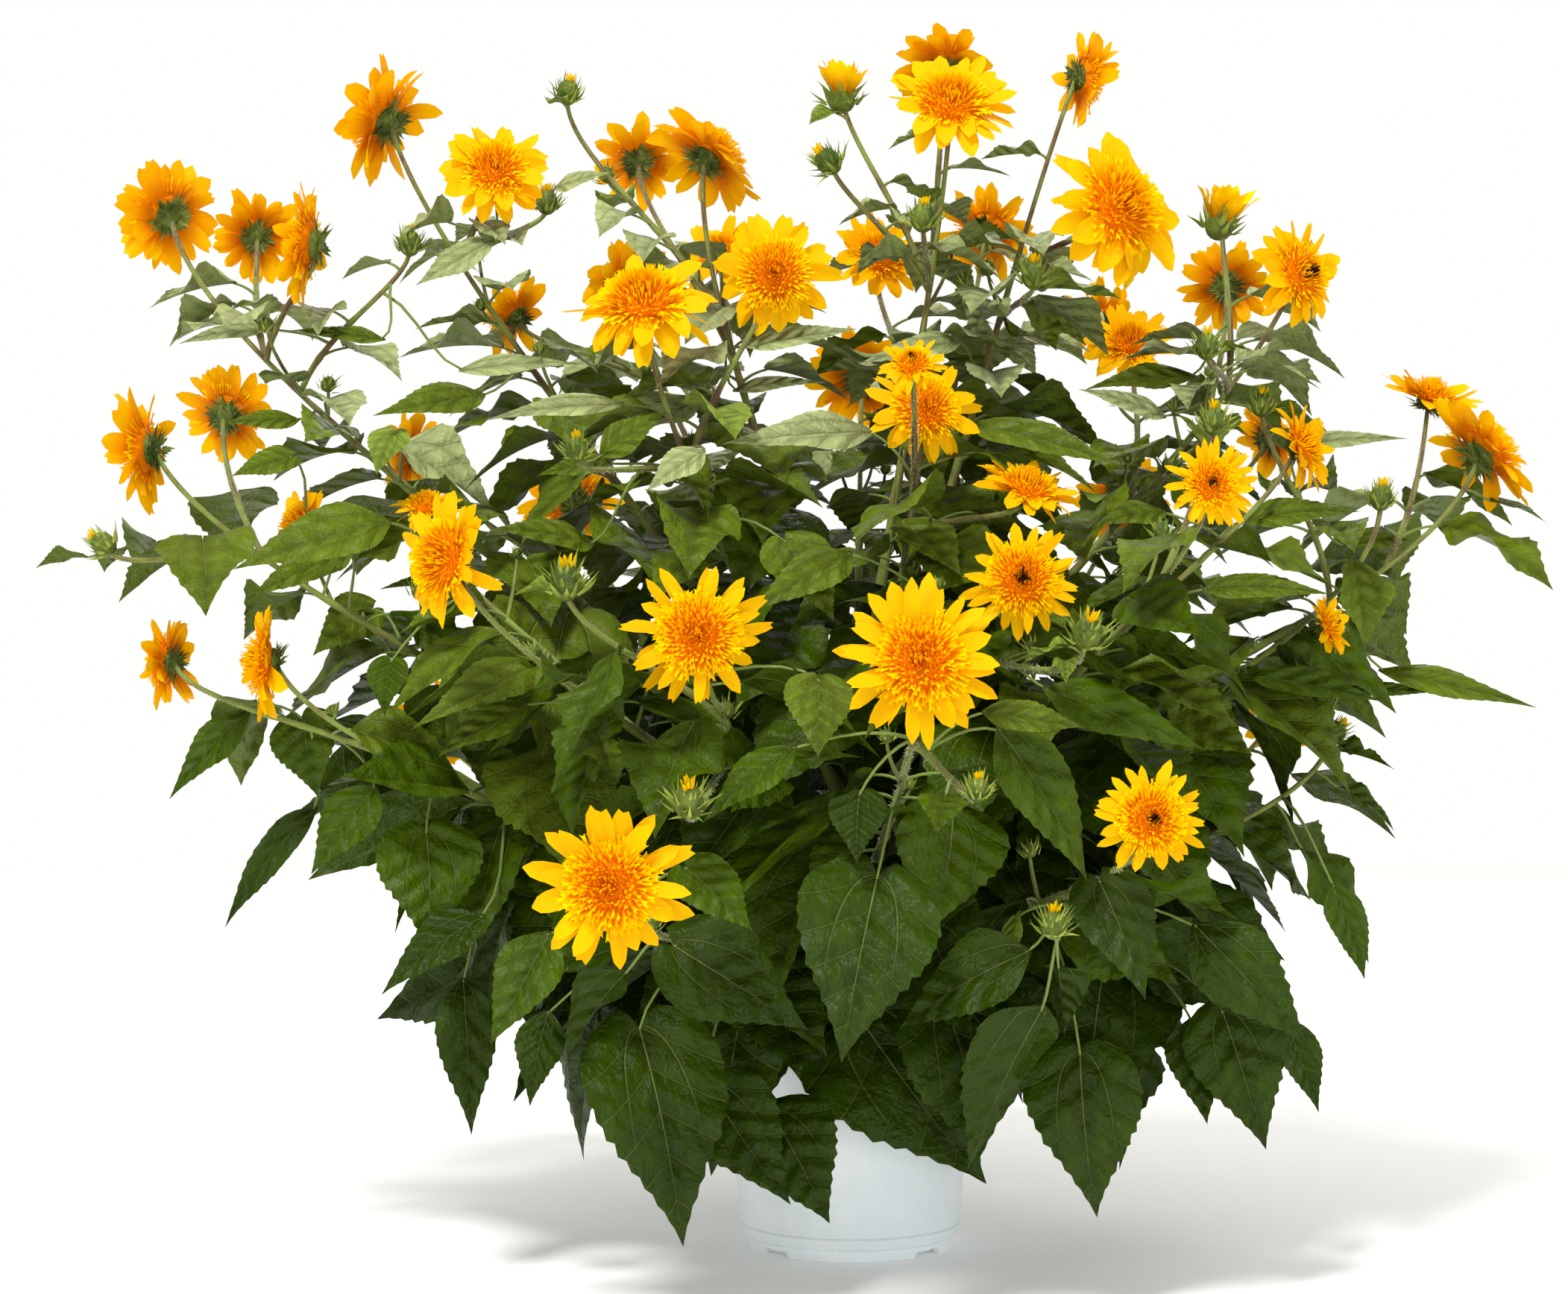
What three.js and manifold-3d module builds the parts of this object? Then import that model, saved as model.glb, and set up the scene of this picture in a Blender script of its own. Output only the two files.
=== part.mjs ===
// A bushy, many-flowered sunflower plant in a white nursery pot: one main stem on a pot of peat,
// long shoots that fan out from it, and on each shoot's end a mass of leaves, flowers and buds.
//
// Millimetres, +Z up, -Y the front. The origin is the middle of the pot's flat underside.

import * as THREE from "three";
import { mergeVertices } from "three/addons/utils/BufferGeometryUtils.js";
import Module from "manifold-3d";

const wasm = await Module();
wasm.setup();

// ---------------------------------------------------------------- driving dimensions

const CLEARANCE = 0.3; // gap between two solids that touch

const POT = {
  height: 195,
  ringRadius: 92.5, // where the wall stands on the foot ring
  taper: 0.061, // growth of the radius for each millimetre of height
  wall: 2.4,
  ringHeight: 11,
  ringInset: 3.5, // the foot ring is this much slimmer than the wall
  floorThickness: 6,
  lipHeight: 13,
  lipOverhang: 4,
  notches: 4,
  notchWidth: 28,
  notchDepth: 13,
  notchHeight: 5,
  sides: 24,
};
const PEAT_TOP = POT.height - 20;

const STEM = {
  footRadius: 17, // the flare at the peat
  radius: 11.5,
  tipRadius: 6.5,
  flareHeight: 26,
  top: 440,
  lean: { x: 9, y: -6 }, // how far its tip stands off the vertical
  sides: 8,
  steps: 7,
};

const SHOOT = {
  footRadius: 5.6, // where a bough leaves the main stem
  tipRadius: 2.9, // under a flower
  sideFootRadius: 3.6,
  sideTipRadius: 2.3,
  boughShare: 0.3, // of a shoot's length, before its leaves begin
  clearShare: 0.001, // between a bough's tip and the twig that goes on from it
  boughSteps: 3,
  leaderSteps: 4,
  sideSteps: 3,
  bareFoot: 0.22, // where the leaves begin on a shoot with no bough
  bareTwig: 0.03, // and how far past a bough's tip
  leafShare: 0.8, // where they end, below the flower's bare stalk
  sideLeaves: [0.12, 0.62], // and where they begin and end on a side stalk
  sideAge: 0.45, // of its first leaves: 0 for the lowest, 1 for those under a flower
  nodeSpacing: 92, // from one pair of leaves to the next
  straightAtFoot: 0.38, // share of a stalk that keeps to the way it starts
  straightAtTip: 0.3, // and to the way it comes up under its flower
  uprightAtTip: 0.7, // how far that way is drawn to the vertical
  leastClimb: 0.3, // of a leader, for each millimetre outward
};

// Where side stalks leave their leader, as shares of its leafy length.
const FORK = {
  lowest: 0.06, // of the whole leader, on a shoot with no bough
  first: 0.08,
  last: 0.6,
  spread: 1.25, // how much lower, for each share that two tips lie apart
  follow: 0.35, // how much a side stalk starts along its leader
};

// Each pair of values is for a leaf low on its shoot, and for one just under the flower.
const LEAF = {
  length: [158, 96], // of the blade
  width: [0.84, 0.68], // of the blade's length
  stalk: [0.42, 0.252],
  lift: [12, 34], // degrees that the stalk rises
  pitch: [-22, 6], // and that the blade does where it starts
  droop: [44, 38], // degrees that the blade bends down along its length
  hang: { lift: 20, pitch: 34, droop: 18 }, // taken off each for a leaf that hangs
  widestAt: 0.36, // along the blade
  stalkWidth: 3.4,
  shortStalk: 22, // a shorter stalk widens straight into its blade
  thickness: 0.022, // half the blade's greatest, for each millimetre of length
  spread: 0.3, // how much lengths vary
  sway: 24, // degrees that pitches vary
  roll: 0.9, // radians that blades tip to either side, in all
  turn: 50, // degrees that pairs are out of their quarter turns, in all
  lean: 0.55, // how far leaves are drawn to the plant's outside
  single: 0.75, // leaves nearer the flower than this stand singly
  guard: 0.9, // how much thicker a leaf counts as when it is kept clear of its neighbours
};
const SPIRAL = 137.5; // degrees from one single leaf to the next

// The leaves whose tips are placed: they root from one to the other of 24 steps of a stalk.
const FAR_LEAF = { from: 6, to: 23, bladeShare: 0.7, droop: 30 };

const SKIRT = {
  count: 7,
  reach: 205, // from the main stem to the twig's tip
  rise: 265,
  footRadius: 4.6,
  tipRadius: 2.2,
  steps: 4,
  bareFoot: 0.3,
  hang: 1.35,
  footHeight: 203,
  footStep: 9,
  turn: 20,
  leafLength: 168,
  lowest: 80, // of its leaves' tips
};

// As shares of the flower's radius.
const FLOWER = {
  petals: 8,
  valley: 0.6, // between two petals
  disc: 0.44, // radius of the domed middle
  discHeight: 0.144, // of the middle's edge above the petals
  dome: 0.24, // of its crown
  back: 0.2,
  neckDepth: 0.08, // of the stalk's end behind the petals
};
const BUD_LENGTH = 1.35; // of a bud, for each millimetre across
const BUD_NECK_DEPTH = 0.5;

// ---------------------------------------------------------------- materials

const paint = (color, roughness) => new THREE.MeshStandardMaterial({ color, roughness, metalness: 0 });
const WHITE_PLASTIC = paint(0xdde6e8, 0.45);
const PEAT = paint(0x2b1d13, 0.95);
const STEM_GREEN = paint(0x6b7f3a, 0.7);
const LEAF_GREEN = paint(0x3c5a26, 0.65);

// ---------------------------------------------------------------- flowers, buds and their shoots

// Each flower or bud: its place, its width, and the way it faces, as an azimuth
// (0 to the front, 90 to the right, 180 to the back) and a rise above level, in degrees.
const flower = (x, y, z, across, azimuth, rise) => ({ x, y, z, across, azimuth, rise, open: true });
const bud = (x, y, z, across = 24, azimuth = 0, rise = 75) => {
  return { x, y, z, across, azimuth, rise, open: false };
};
// The tip of one of the leaves that reach furthest.
const at = (x, y, z) => new THREE.Vector3(x, y, z);

// Each shoot: where it leaves the main stem, then its leader's tip and its side tips,
// and where the tips of its furthest leaves are.
// A shoot with no bough carries leaves right from the main stem.
const SHOOTS = [
  {
    name: "left_low",
    foot: 240,
    tips: [flower(-461, -150, 487, 98, -80, 5), flower(-563, -40, 487, 80, -110, 5)],
    leaves: [at(-562, -60, 384), at(-518, -60, 277), at(-330, -130, 160)],
  },
  {
    name: "left",
    foot: 282,
    tips: [
      flower(-574, -70, 661, 105, -100, 0),
      bud(-615, -60, 585, 24, -90, 40),
      flower(-535, 60, 699, 92, 160, 20),
      flower(-455, -30, 597, 80, -60, 20),
    ],
    leaves: [at(-675, -40, 565)],
  },
  {
    name: "left_high",
    foot: 322,
    tips: [
      flower(-581, 40, 868, 98, -140, 22),
      flower(-522, 130, 863, 84, -160, 20),
      flower(-445, -40, 833, 104, -98, 8),
      bud(-370, 0, 841),
    ],
  },
  {
    name: "left_top",
    foot: 366,
    tips: [flower(-398, 60, 952, 114, -115, 28), flower(-298, 0, 899, 98, 5, 28), bud(-262, 90, 889)],
  },
  {
    name: "top_left",
    foot: 414,
    tips: [
      flower(-120, 20, 915, 108, 125, 52),
      bud(-241, 60, 979, 24, 30, 70),
      flower(-186, 180, 938, 88, 178, 25),
      flower(-112, 165, 850, 84, -30, 45),
    ],
  },
  {
    name: "front_left_top",
    foot: 346,
    tips: [
      flower(-166, -140, 771, 122, -5, 48),
      flower(-63, -60, 805, 104, 0, 10),
      bud(-216, -200, 654, 22),
    ],
  },
  {
    name: "top",
    foot: STEM.top,
    bough: false,
    tips: [
      flower(84, -20, 951, 112, 5, 38),
      flower(84, 84, 1002, 92, 170, 50),
      flower(-6, 40, 977, 38, 0, 85),
      bud(-20, -50, 901, 26, -60, 40),
      flower(30, 185, 850, 90, 20, 30),
      bud(58, -80, 851, 26),
    ],
  },
  {
    name: "top_right",
    foot: 388,
    tips: [flower(200, 60, 990, 88, 110, -4), flower(216, -80, 855, 124, 35, 14), bud(150, -60, 807, 26)],
  },
  {
    name: "right_top",
    foot: 356,
    tips: [
      flower(370, -40, 807, 92, 35, 8),
      flower(335, 120, 818, 84, 170, 20),
      flower(318, 30, 868, 40, 40, 70),
      flower(255, 160, 769, 88, -10, 40),
      bud(285, -110, 743),
    ],
  },
  {
    name: "right_high",
    foot: 312,
    tips: [flower(521, -40, 659, 98, 110, 42), flower(502, 66, 711, 80, 60, 68), bud(337, -60, 700, 22)],
    leaves: [at(590, 0, 600)],
  },
  {
    name: "right",
    foot: 262,
    tips: [bud(435, -60, 624), flower(382, -100, 516, 56, 60, 20)],
    leaves: [at(564, -40, 445), at(520, -70, 560)],
  },
  {
    name: "front_right",
    foot: 290,
    tips: [flower(264, -280, 621, 70, 0, 8), flower(362, -90, 661, 78, 60, 20), bud(278, -200, 676)],
  },
  {
    name: "front_right_high",
    foot: 330,
    tips: [
      flower(57, -140, 688, 92, 10, 20),
      flower(44, -212, 716, 56, -10, 42),
      flower(135, -170, 620, 88, 40, 60),
      flower(124, -262, 549, 96, 0, 14),
      bud(168, -318, 511, 28, 20, 60),
    ],
  },
  { name: "front", foot: 251, tips: [flower(42, -390, 490, 122, -5, 14), bud(82, -395, 400, 20)] },
  {
    name: "front_left",
    foot: 272,
    tips: [flower(-118, -335, 508, 108, 0, 8), bud(-215, -318, 549, 30), bud(-123, -398, 392, 28, 0, 60)],
  },
  {
    name: "front_left_high",
    foot: 304,
    tips: [flower(-304, -300, 564, 104, -45, 8), flower(-345, -90, 612, 60, 0, 60)],
  },
  {
    name: "front_left_low",
    foot: 228,
    bough: false,
    tips: [flower(-178, -400, 331, 120, -5, 5)],
    leaves: [at(-128, -250, 53), at(-250, -300, 190)],
  },
  {
    name: "front_right_low",
    foot: 234,
    bough: false,
    tips: [flower(211, -345, 374, 88, 5, 10), bud(140, -345, 300, 24)],
    leaves: [at(170, -250, 73), at(40, -300, 180)],
  },
  {
    name: "right_low",
    foot: 226,
    bough: false,
    tips: [bud(400, -50, 430, 22, 80, 50)],
    leaves: [at(447, -60, 350), at(422, -70, 240), at(326, -120, 110)],
  },
  {
    name: "back_left_top",
    foot: 384,
    tips: [flower(-200, 290, 840, 96, -150, 25), flower(-300, 210, 800, 84, -120, 35)],
    leaves: [at(-150, 390, 740)],
  },
  {
    name: "back_left",
    foot: 300,
    tips: [flower(-260, 400, 640, 108, -155, 12), flower(-400, 260, 680, 88, -120, 20)],
    leaves: [at(-400, 370, 520)],
  },
  {
    name: "back",
    foot: 338,
    tips: [flower(20, 360, 760, 112, 175, 25), flower(110, 300, 700, 84, 150, 40)],
    leaves: [at(-80, 440, 640)],
  },
  {
    name: "back_low",
    foot: 230,
    bough: false,
    tips: [flower(30, 430, 450, 112, 180, 8)],
    leaves: [at(-120, 450, 320), at(160, 440, 290)],
  },
  {
    name: "back_right",
    foot: 294,
    tips: [flower(270, 370, 640, 104, 145, 12), flower(390, 230, 690, 84, 110, 25)],
    leaves: [at(380, 350, 520)],
  },
  {
    name: "back_right_top",
    foot: 422,
    tips: [flower(130, 230, 880, 96, 160, 30), flower(240, 260, 800, 88, 130, 20)],
  },
  {
    name: "back_right_low",
    foot: 244,
    tips: [flower(400, 230, 440, 92, 118, 8)],
    leaves: [at(490, 130, 330), at(310, 360, 280)],
  },
  {
    name: "back_left_low",
    foot: 254,
    tips: [flower(-380, 260, 430, 100, -125, 8)],
    leaves: [at(-510, 140, 320), at(-310, 370, 280)],
  },
];

// ---------------------------------------------------------------- small tools

const UP = new THREE.Vector3(0, 0, 1);
const radians = THREE.MathUtils.degToRad;
const blend = THREE.MathUtils.lerp;

// A repeatable number from 0 to 1 for each set of whole-number keys.
function chance(...keys) {
  const strides = [12.9898, 78.233, 37.719, 94.673];
  const wave = Math.sin(keys.reduce((sum, key, i) => sum + (key + 1) * strides[i], 0)) * 43758.5453;
  return wave - Math.floor(wave);
}

// The unit vector at an azimuth (0 to the front, 90 to the right) and a rise, in degrees.
function heading(azimuth, rise = 0) {
  const [a, e] = [radians(azimuth), radians(rise)];
  return new THREE.Vector3(Math.sin(a) * Math.cos(e), -Math.cos(a) * Math.cos(e), Math.sin(e));
}

// A closed three.js geometry as a manifold-3d solid.
function solidOf(geometry) {
  const bare = (geometry.index ? geometry : geometry.clone()).clone();
  bare.deleteAttribute("normal");
  bare.deleteAttribute("uv");
  const merged = mergeVertices(bare, 1e-3);
  return new wasm.Manifold(
    new wasm.Mesh({
      numProp: 3,
      vertProperties: new Float32Array(merged.attributes.position.array),
      triVerts: new Uint32Array(merged.index.array),
    }),
  );
}

// Every solid of a list joined in one, with sealed hollows filled and loose scraps dropped.
function join(solids) {
  const joined = solids.reduce((all, next) => all.add(next));
  const bodies = joined.decompose().filter((body) => body.volume() > 0);
  return bodies.reduce((largest, body) => (body.volume() > largest.volume() ? body : largest));
}

// A manifold-3d solid as a named three.js mesh.
function meshOf(name, solid, material) {
  const made = solid.getMesh();
  const positions = new Float32Array(made.numVert * 3);
  for (let i = 0; i < made.numVert; i++) {
    positions.set(made.vertProperties.subarray(i * made.numProp, i * made.numProp + 3), i * 3);
  }
  const geometry = new THREE.BufferGeometry();
  geometry.setAttribute("position", new THREE.BufferAttribute(positions, 3));
  geometry.setIndex(new THREE.BufferAttribute(made.triVerts, 1));
  geometry.computeVertexNormals();
  const mesh = new THREE.Mesh(geometry, material);
  mesh.name = name;
  return mesh;
}

// Moves each vertex of a unit cylinder or cone, whose axis is Y from -0.5 to 0.5, on to a section:
// sectionAt(t) gives the section's centre and the two vectors that its X and Z follow.
function loft(geometry, sectionAt, ringRadius = () => 1) {
  const positions = geometry.attributes.position;
  const point = new THREE.Vector3();
  for (let i = 0; i < positions.count; i++) {
    point.fromBufferAttribute(positions, i);
    const t = point.y + 0.5;
    const { centre, across, through } = sectionAt(t);
    const ring = Math.max(ringRadius(t), 1e-6);
    const moved = centre.clone();
    moved.addScaledVector(across, point.x / ring).addScaledVector(through, point.z / ring);
    positions.setXYZ(i, moved.x, moved.y, moved.z);
  }
  return solidOf(geometry);
}

// A limb's route: straight lines between a smooth curve's points at the given fractions of it,
// so that what grows on a limb of few faces is rooted inside it.
class Route extends THREE.Curve {
  constructor(curve, knots) {
    super();
    this.knots = knots;
    this.points = knots.map((t) => curve.getPoint(t));
  }

  getPoint(t) {
    const inside = THREE.MathUtils.clamp(t, 0, 1);
    const next = Math.max(1, this.knots.findIndex((knot) => knot >= inside));
    const [before, after] = [this.knots[next - 1], this.knots[next]];
    return this.points[next - 1].clone().lerp(this.points[next], (inside - before) / (after - before));
  }
}

const evenly = (from, to, steps) => Array.from({ length: steps + 1 }, (_, i) => blend(from, to, i / steps));

// A tapering round limb along a route, from one of its fractions to another.
function limb(route, from, to, radiusAt, sides, steps) {
  const level = new THREE.Vector3().crossVectors(UP, route.getPoint(1).sub(route.getPoint(0)));
  if (level.lengthSq() < 1) level.set(1, 0, 0);
  level.normalize();
  return loft(new THREE.CylinderGeometry(1, 1, 1, sides, steps), (share) => {
    const t = blend(from, to, share);
    const along = route.getTangent(t);
    const across = level.clone().addScaledVector(along, -level.dot(along)).normalize();
    const through = new THREE.Vector3().crossVectors(across, along);
    const radius = radiusAt(t);
    return {
      centre: route.getPoint(t),
      across: across.multiplyScalar(radius),
      through: through.multiplyScalar(radius),
    };
  });
}

// ---------------------------------------------------------------- pot and peat

// The pot's outer radius at a height above its foot ring.
const potRadius = (height) => POT.ringRadius + POT.taper * (height - POT.ringHeight);

// A solid of revolution about Z from [radius, height] pairs that start and end on the axis.
function turned(profile, sides) {
  const points = profile.map(([radius, height]) => new THREE.Vector2(radius, height));
  return solidOf(new THREE.LatheGeometry(points, sides).rotateX(Math.PI / 2));
}

function pot() {
  const rimFoot = POT.height - POT.lipHeight;
  const shell = turned(
    [
      [0, 0],
      [POT.ringRadius - POT.ringInset, 0],
      [POT.ringRadius - POT.ringInset, POT.ringHeight - 2],
      [POT.ringRadius, POT.ringHeight],
      [potRadius(rimFoot), rimFoot],
      [potRadius(rimFoot) + POT.lipOverhang, rimFoot],
      [potRadius(POT.height) + POT.lipOverhang, POT.height],
      [potRadius(POT.height) - POT.wall, POT.height],
      [potRadius(POT.ringHeight) - POT.wall, POT.floorThickness],
      [0, POT.floorThickness],
    ],
    POT.sides,
  );
  const notches = Array.from({ length: POT.notches }, (_, i) => {
    const notch = new THREE.BoxGeometry(POT.notchWidth, POT.notchDepth * 2, POT.notchHeight * 2);
    notch.translate(0, -POT.ringRadius, 0);
    notch.rotateZ(((i + 0.5) / POT.notches) * Math.PI * 2);
    return solidOf(notch);
  });
  return notches.reduce((left, notch) => left.subtract(notch), shell);
}

function peat() {
  const inside = (height) => potRadius(height) - POT.wall - CLEARANCE - 0.7;
  const bottom = POT.floorThickness + CLEARANCE;
  return turned(
    [
      [0, bottom],
      [inside(bottom) - 1, bottom],
      [inside(PEAT_TOP), PEAT_TOP],
      [0, PEAT_TOP],
    ],
    POT.sides,
  );
}

// ---------------------------------------------------------------- main stem

const stemFoot = PEAT_TOP + CLEARANCE;
const stemCurve = new THREE.CubicBezierCurve3(
  new THREE.Vector3(0, 0, stemFoot),
  new THREE.Vector3(0, 0, blend(stemFoot, STEM.top, 0.35)),
  new THREE.Vector3(STEM.lean.x * 0.5, STEM.lean.y * 0.5, blend(stemFoot, STEM.top, 0.7)),
  new THREE.Vector3(STEM.lean.x, STEM.lean.y, STEM.top),
);

// The main stem's radius at a fraction of its height, flared at its foot.
function stemRadius(t) {
  const flare = Math.max(0, 1 - (t * (STEM.top - stemFoot)) / STEM.flareHeight);
  return blend(STEM.radius, STEM.tipRadius, t) + (STEM.footRadius - STEM.radius) * flare;
}

const stemPoint = (height) => stemCurve.getPoint((height - stemFoot) / (STEM.top - stemFoot));

function mainStem(extra = 0) {
  return limb(stemCurve, 0, 1, (t) => stemRadius(t) + extra, STEM.sides, STEM.steps);
}

// ---------------------------------------------------------------- flowers and buds

// A head whose axis is +Y, turned the way its flower or bud faces and set in its place.
function placed(head, { x, y, z, azimuth, rise }) {
  const facing = heading(azimuth, rise);
  head.applyQuaternion(new THREE.Quaternion().setFromUnitVectors(new THREE.Vector3(0, 1, 0), facing));
  return solidOf(head.translate(x, y, z));
}

// A flower head: a ring of petals round a domed middle, on a short green back.
function flowerHead(tip) {
  const head = new THREE.CylinderGeometry(FLOWER.disc, 1, 1, FLOWER.petals * 2, 1);
  const positions = head.attributes.position;
  for (let i = 0; i < positions.count; i++) {
    const [px, py, pz] = [positions.getX(i), positions.getY(i), positions.getZ(i)];
    if (Math.hypot(px, pz) < 1e-6) {
      positions.setY(i, py > 0 ? FLOWER.dome : -FLOWER.back);
    } else if (py > 0) {
      positions.setY(i, FLOWER.discHeight);
    } else {
      const spoke = Math.round((Math.atan2(px, pz) / Math.PI) * FLOWER.petals);
      const reach = spoke % 2 ? FLOWER.valley : 1;
      positions.setXYZ(i, px * reach, 0, pz * reach);
    }
  }
  const radius = tip.across / 2;
  return placed(head.scale(radius, radius, radius), tip);
}

function budHead(tip) {
  return placed(new THREE.OctahedronGeometry(tip.across / 2).scale(1, BUD_LENGTH, 1), tip);
}

// Where a tip's stalk ends, just inside the back of its flower or bud.
function neck(tip) {
  const depth = (tip.open ? FLOWER.neckDepth : BUD_NECK_DEPTH) * (tip.across / 2);
  return new THREE.Vector3(tip.x, tip.y, tip.z).addScaledVector(heading(tip.azimuth, tip.rise), -depth);
}

// ---------------------------------------------------------------- shoots

// The route of a stalk that leaves start along outward and comes up under a tip's flower.
function stalkRoute(start, outward, tip, knots) {
  const end = neck(tip);
  const length = start.distanceTo(end);
  const arrive = heading(tip.azimuth, tip.rise).lerp(UP, SHOOT.uprightAtTip);
  const afterStart = start.clone().addScaledVector(outward, length * SHOOT.straightAtFoot);
  const beforeEnd = end.clone().addScaledVector(arrive, -length * SHOOT.straightAtTip);
  return new Route(new THREE.CubicBezierCurve3(start, afterStart, beforeEnd, end), knots);
}

// Where a shoot's mass begins on its leader, just clear of its bough or of the main stem's tip.
function leafyFrom(shoot) {
  if (shoot.bough !== false) return SHOOT.boughShare + SHOOT.clearShare;
  return shoot.foot < STEM.top ? 0 : SHOOT.clearShare;
}

// A shoot's leader leaves the main stem the way its tip lies, flatter where the tip lies low.
function leaderRoute(shoot) {
  const axis = stemPoint(shoot.foot);
  const end = neck(shoot.tips[0]);
  const away = new THREE.Vector3(end.x - axis.x, end.y - axis.y, 0);
  const fromSide = shoot.foot < STEM.top ? STEM.tipRadius / away.length() : 0;
  const start = axis.clone().addScaledVector(away, fromSide);
  const rise = end.z - start.z;
  const climb = Math.max(rise, away.length() * SHOOT.leastClimb);
  const outward = away.clone().addScaledVector(UP, climb).normalize();
  const bough = shoot.bough === false ? [] : evenly(0, SHOOT.boughShare, SHOOT.boughSteps);
  const twig = evenly(leafyFrom(shoot), 1, SHOOT.leaderSteps);
  const knots = twig[0] > 0 && bough.length === 0 ? [0, ...twig] : [...bough, ...twig];
  return stalkRoute(start, outward, shoot.tips[0], knots);
}

// The side stalks leave the leader lower, the further their tips lie from the leader's.
function sideRoutes(shoot, leader) {
  const length = leader.getLength();
  const start = shoot.bough === false ? FORK.lowest : SHOOT.boughShare;
  return shoot.tips.slice(1).map((tip) => {
    const apart = neck(tip).distanceTo(leader.getPoint(1));
    const share = 1 - (FORK.spread * apart) / (length * (1 - start));
    const fork = blend(start, 1, THREE.MathUtils.clamp(share, FORK.first, FORK.last));
    const foot = leader.getPoint(fork);
    const outward = neck(tip).sub(foot).normalize();
    outward.addScaledVector(leader.getTangent(fork), FORK.follow).normalize();
    return stalkRoute(foot, outward, tip, evenly(0, 1, SHOOT.sideSteps));
  });
}

// ---------------------------------------------------------------- leaves

// One leaf: a three-sided stalk that widens into a blade with a flat top and a keel below.
// Its blade starts at one pitch and droops to another.
function leafSolid({ root, side, stalk, blade, width, out, pitch, droop, roll }, guard = 0) {
  const level = new THREE.Vector3(out.x, out.y, 0).normalize();
  const slope = (degrees) =>
    level.clone().multiplyScalar(Math.cos(radians(degrees))).addScaledVector(UP, Math.sin(radians(degrees)));
  const base = root.clone().addScaledVector(out, stalk);
  const onBlade = (share) => base.clone().addScaledVector(slope(pitch - droop * share * 0.5), blade * share);
  const left = side.clone();
  const bare = { way: out, half: LEAF.stalkWidth / 2, deep: LEAF.stalkWidth / 2 };
  const rings = [
    { centre: root, ...bare },
    ...(stalk > LEAF.shortStalk ? [{ centre: base, ...bare }] : []),
    {
      centre: onBlade(LEAF.widestAt),
      way: slope(pitch - droop * LEAF.widestAt),
      half: width / 2,
      deep: blade * LEAF.thickness,
    },
    { centre: onBlade(1), way: slope(pitch - droop), half: 0, deep: 0 },
  ];
  const last = rings.length - 1;
  return loft(
    new THREE.ConeGeometry(1, 1, 3, last),
    (t) => {
      const { centre, way, half, deep } = rings[Math.round(t * last)];
      const across = left.clone().applyAxisAngle(way, roll);
      const through = new THREE.Vector3().crossVectors(across, way).normalize();
      return {
        centre: centre.clone().addScaledVector(through, -guard * 0.25),
        across: across.multiplyScalar((half + guard) / Math.cos(Math.PI / 6)),
        through: through.multiplyScalar(deep + guard),
      };
    },
    (t) => 1 - t,
  );
}

// The leaves of one stalk, in pairs that turn a quarter at each node, and singly near its tip.
// age is 0 for leaves low on the plant and 1 for those under a flower.
function leavesOf(route, from, to, seed, { young = 0, length = LEAF.length[0], hang = 0 } = {}) {
  const leaves = [];
  const run = route.getLength() * (to - from);
  const nodes = Math.max(1, Math.round(run / SHOOT.nodeSpacing));
  for (let i = 0; i < nodes; i++) {
    const share = (i + 0.5) / nodes;
    const t = blend(from, to, share);
    const age = Math.min(1, young + share * (1 - young));
    const aged = ([low, high]) => blend(low, high, age);
    const root = route.getPoint(t);
    const along = route.getTangent(t);
    const outward = new THREE.Vector3(root.x, root.y, 0);
    if (outward.length() < 20) outward.copy(heading(chance(seed, 7) * 360));
    outward.normalize();
    const turn = (i % 2) * 90 + 45 + (chance(seed, i, 1) - 0.5) * LEAF.turn;
    const abreast = age > LEAF.single ? 1 : 2;
    for (let j = 0; j < abreast; j++) {
      const spin = radians(turn + j * 180 + (abreast === 1 ? i * SPIRAL : 0));
      const square = new THREE.Vector3().crossVectors(along, outward);
      if (square.lengthSq() < 0.05) square.crossVectors(along, UP);
      square.normalize();
      const away = square.applyAxisAngle(along, spin).addScaledVector(outward, LEAF.lean).normalize();
      const level = new THREE.Vector3(away.x, away.y, 0).normalize();
      const size = 1 + (chance(seed, i, j, 2) - 0.5) * LEAF.spread;
      const blade = blend(length, LEAF.length[1], age) * size;
      const lift = radians(aged(LEAF.lift) - hang * LEAF.hang.lift);
      const sway = (chance(seed, i, j, 3) - 0.5) * LEAF.sway;
      leaves.push({
        root,
        out: level.clone().multiplyScalar(Math.cos(lift)).addScaledVector(UP, Math.sin(lift)),
        side: new THREE.Vector3().crossVectors(UP, level),
        stalk: blade * aged(LEAF.stalk),
        blade,
        width: blade * aged(LEAF.width),
        pitch: aged(LEAF.pitch) - hang * LEAF.hang.pitch + sway,
        droop: aged(LEAF.droop) - hang * LEAF.hang.droop,
        roll: (chance(seed, i, j, 4) - 0.5) * LEAF.roll,
      });
    }
  }
  return leaves;
}

// A leaf whose tip lies at a given point, from the nearest place on any of a shoot's stalks.
function leafTo(tip, routes) {
  const places = routes.flatMap((route) => route.getPoints(24).slice(FAR_LEAF.from, FAR_LEAF.to));
  const root = places.reduce((best, next) => (next.distanceTo(tip) < best.distanceTo(tip) ? next : best));
  const out = tip.clone().sub(root);
  const length = out.length();
  out.normalize();
  const blade = length * FAR_LEAF.bladeShare;
  return {
    root,
    out,
    side: new THREE.Vector3().crossVectors(UP, out).normalize(),
    stalk: length - blade,
    blade,
    width: blade * LEAF.width[1],
    pitch: THREE.MathUtils.radToDeg(Math.asin(out.z)) + FAR_LEAF.droop / 2,
    droop: FAR_LEAF.droop,
    roll: 0,
  };
}

// ---------------------------------------------------------------- masses of foliage

const limbs = []; // { owner, solid } of everything that a leaf must stay clear of

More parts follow.
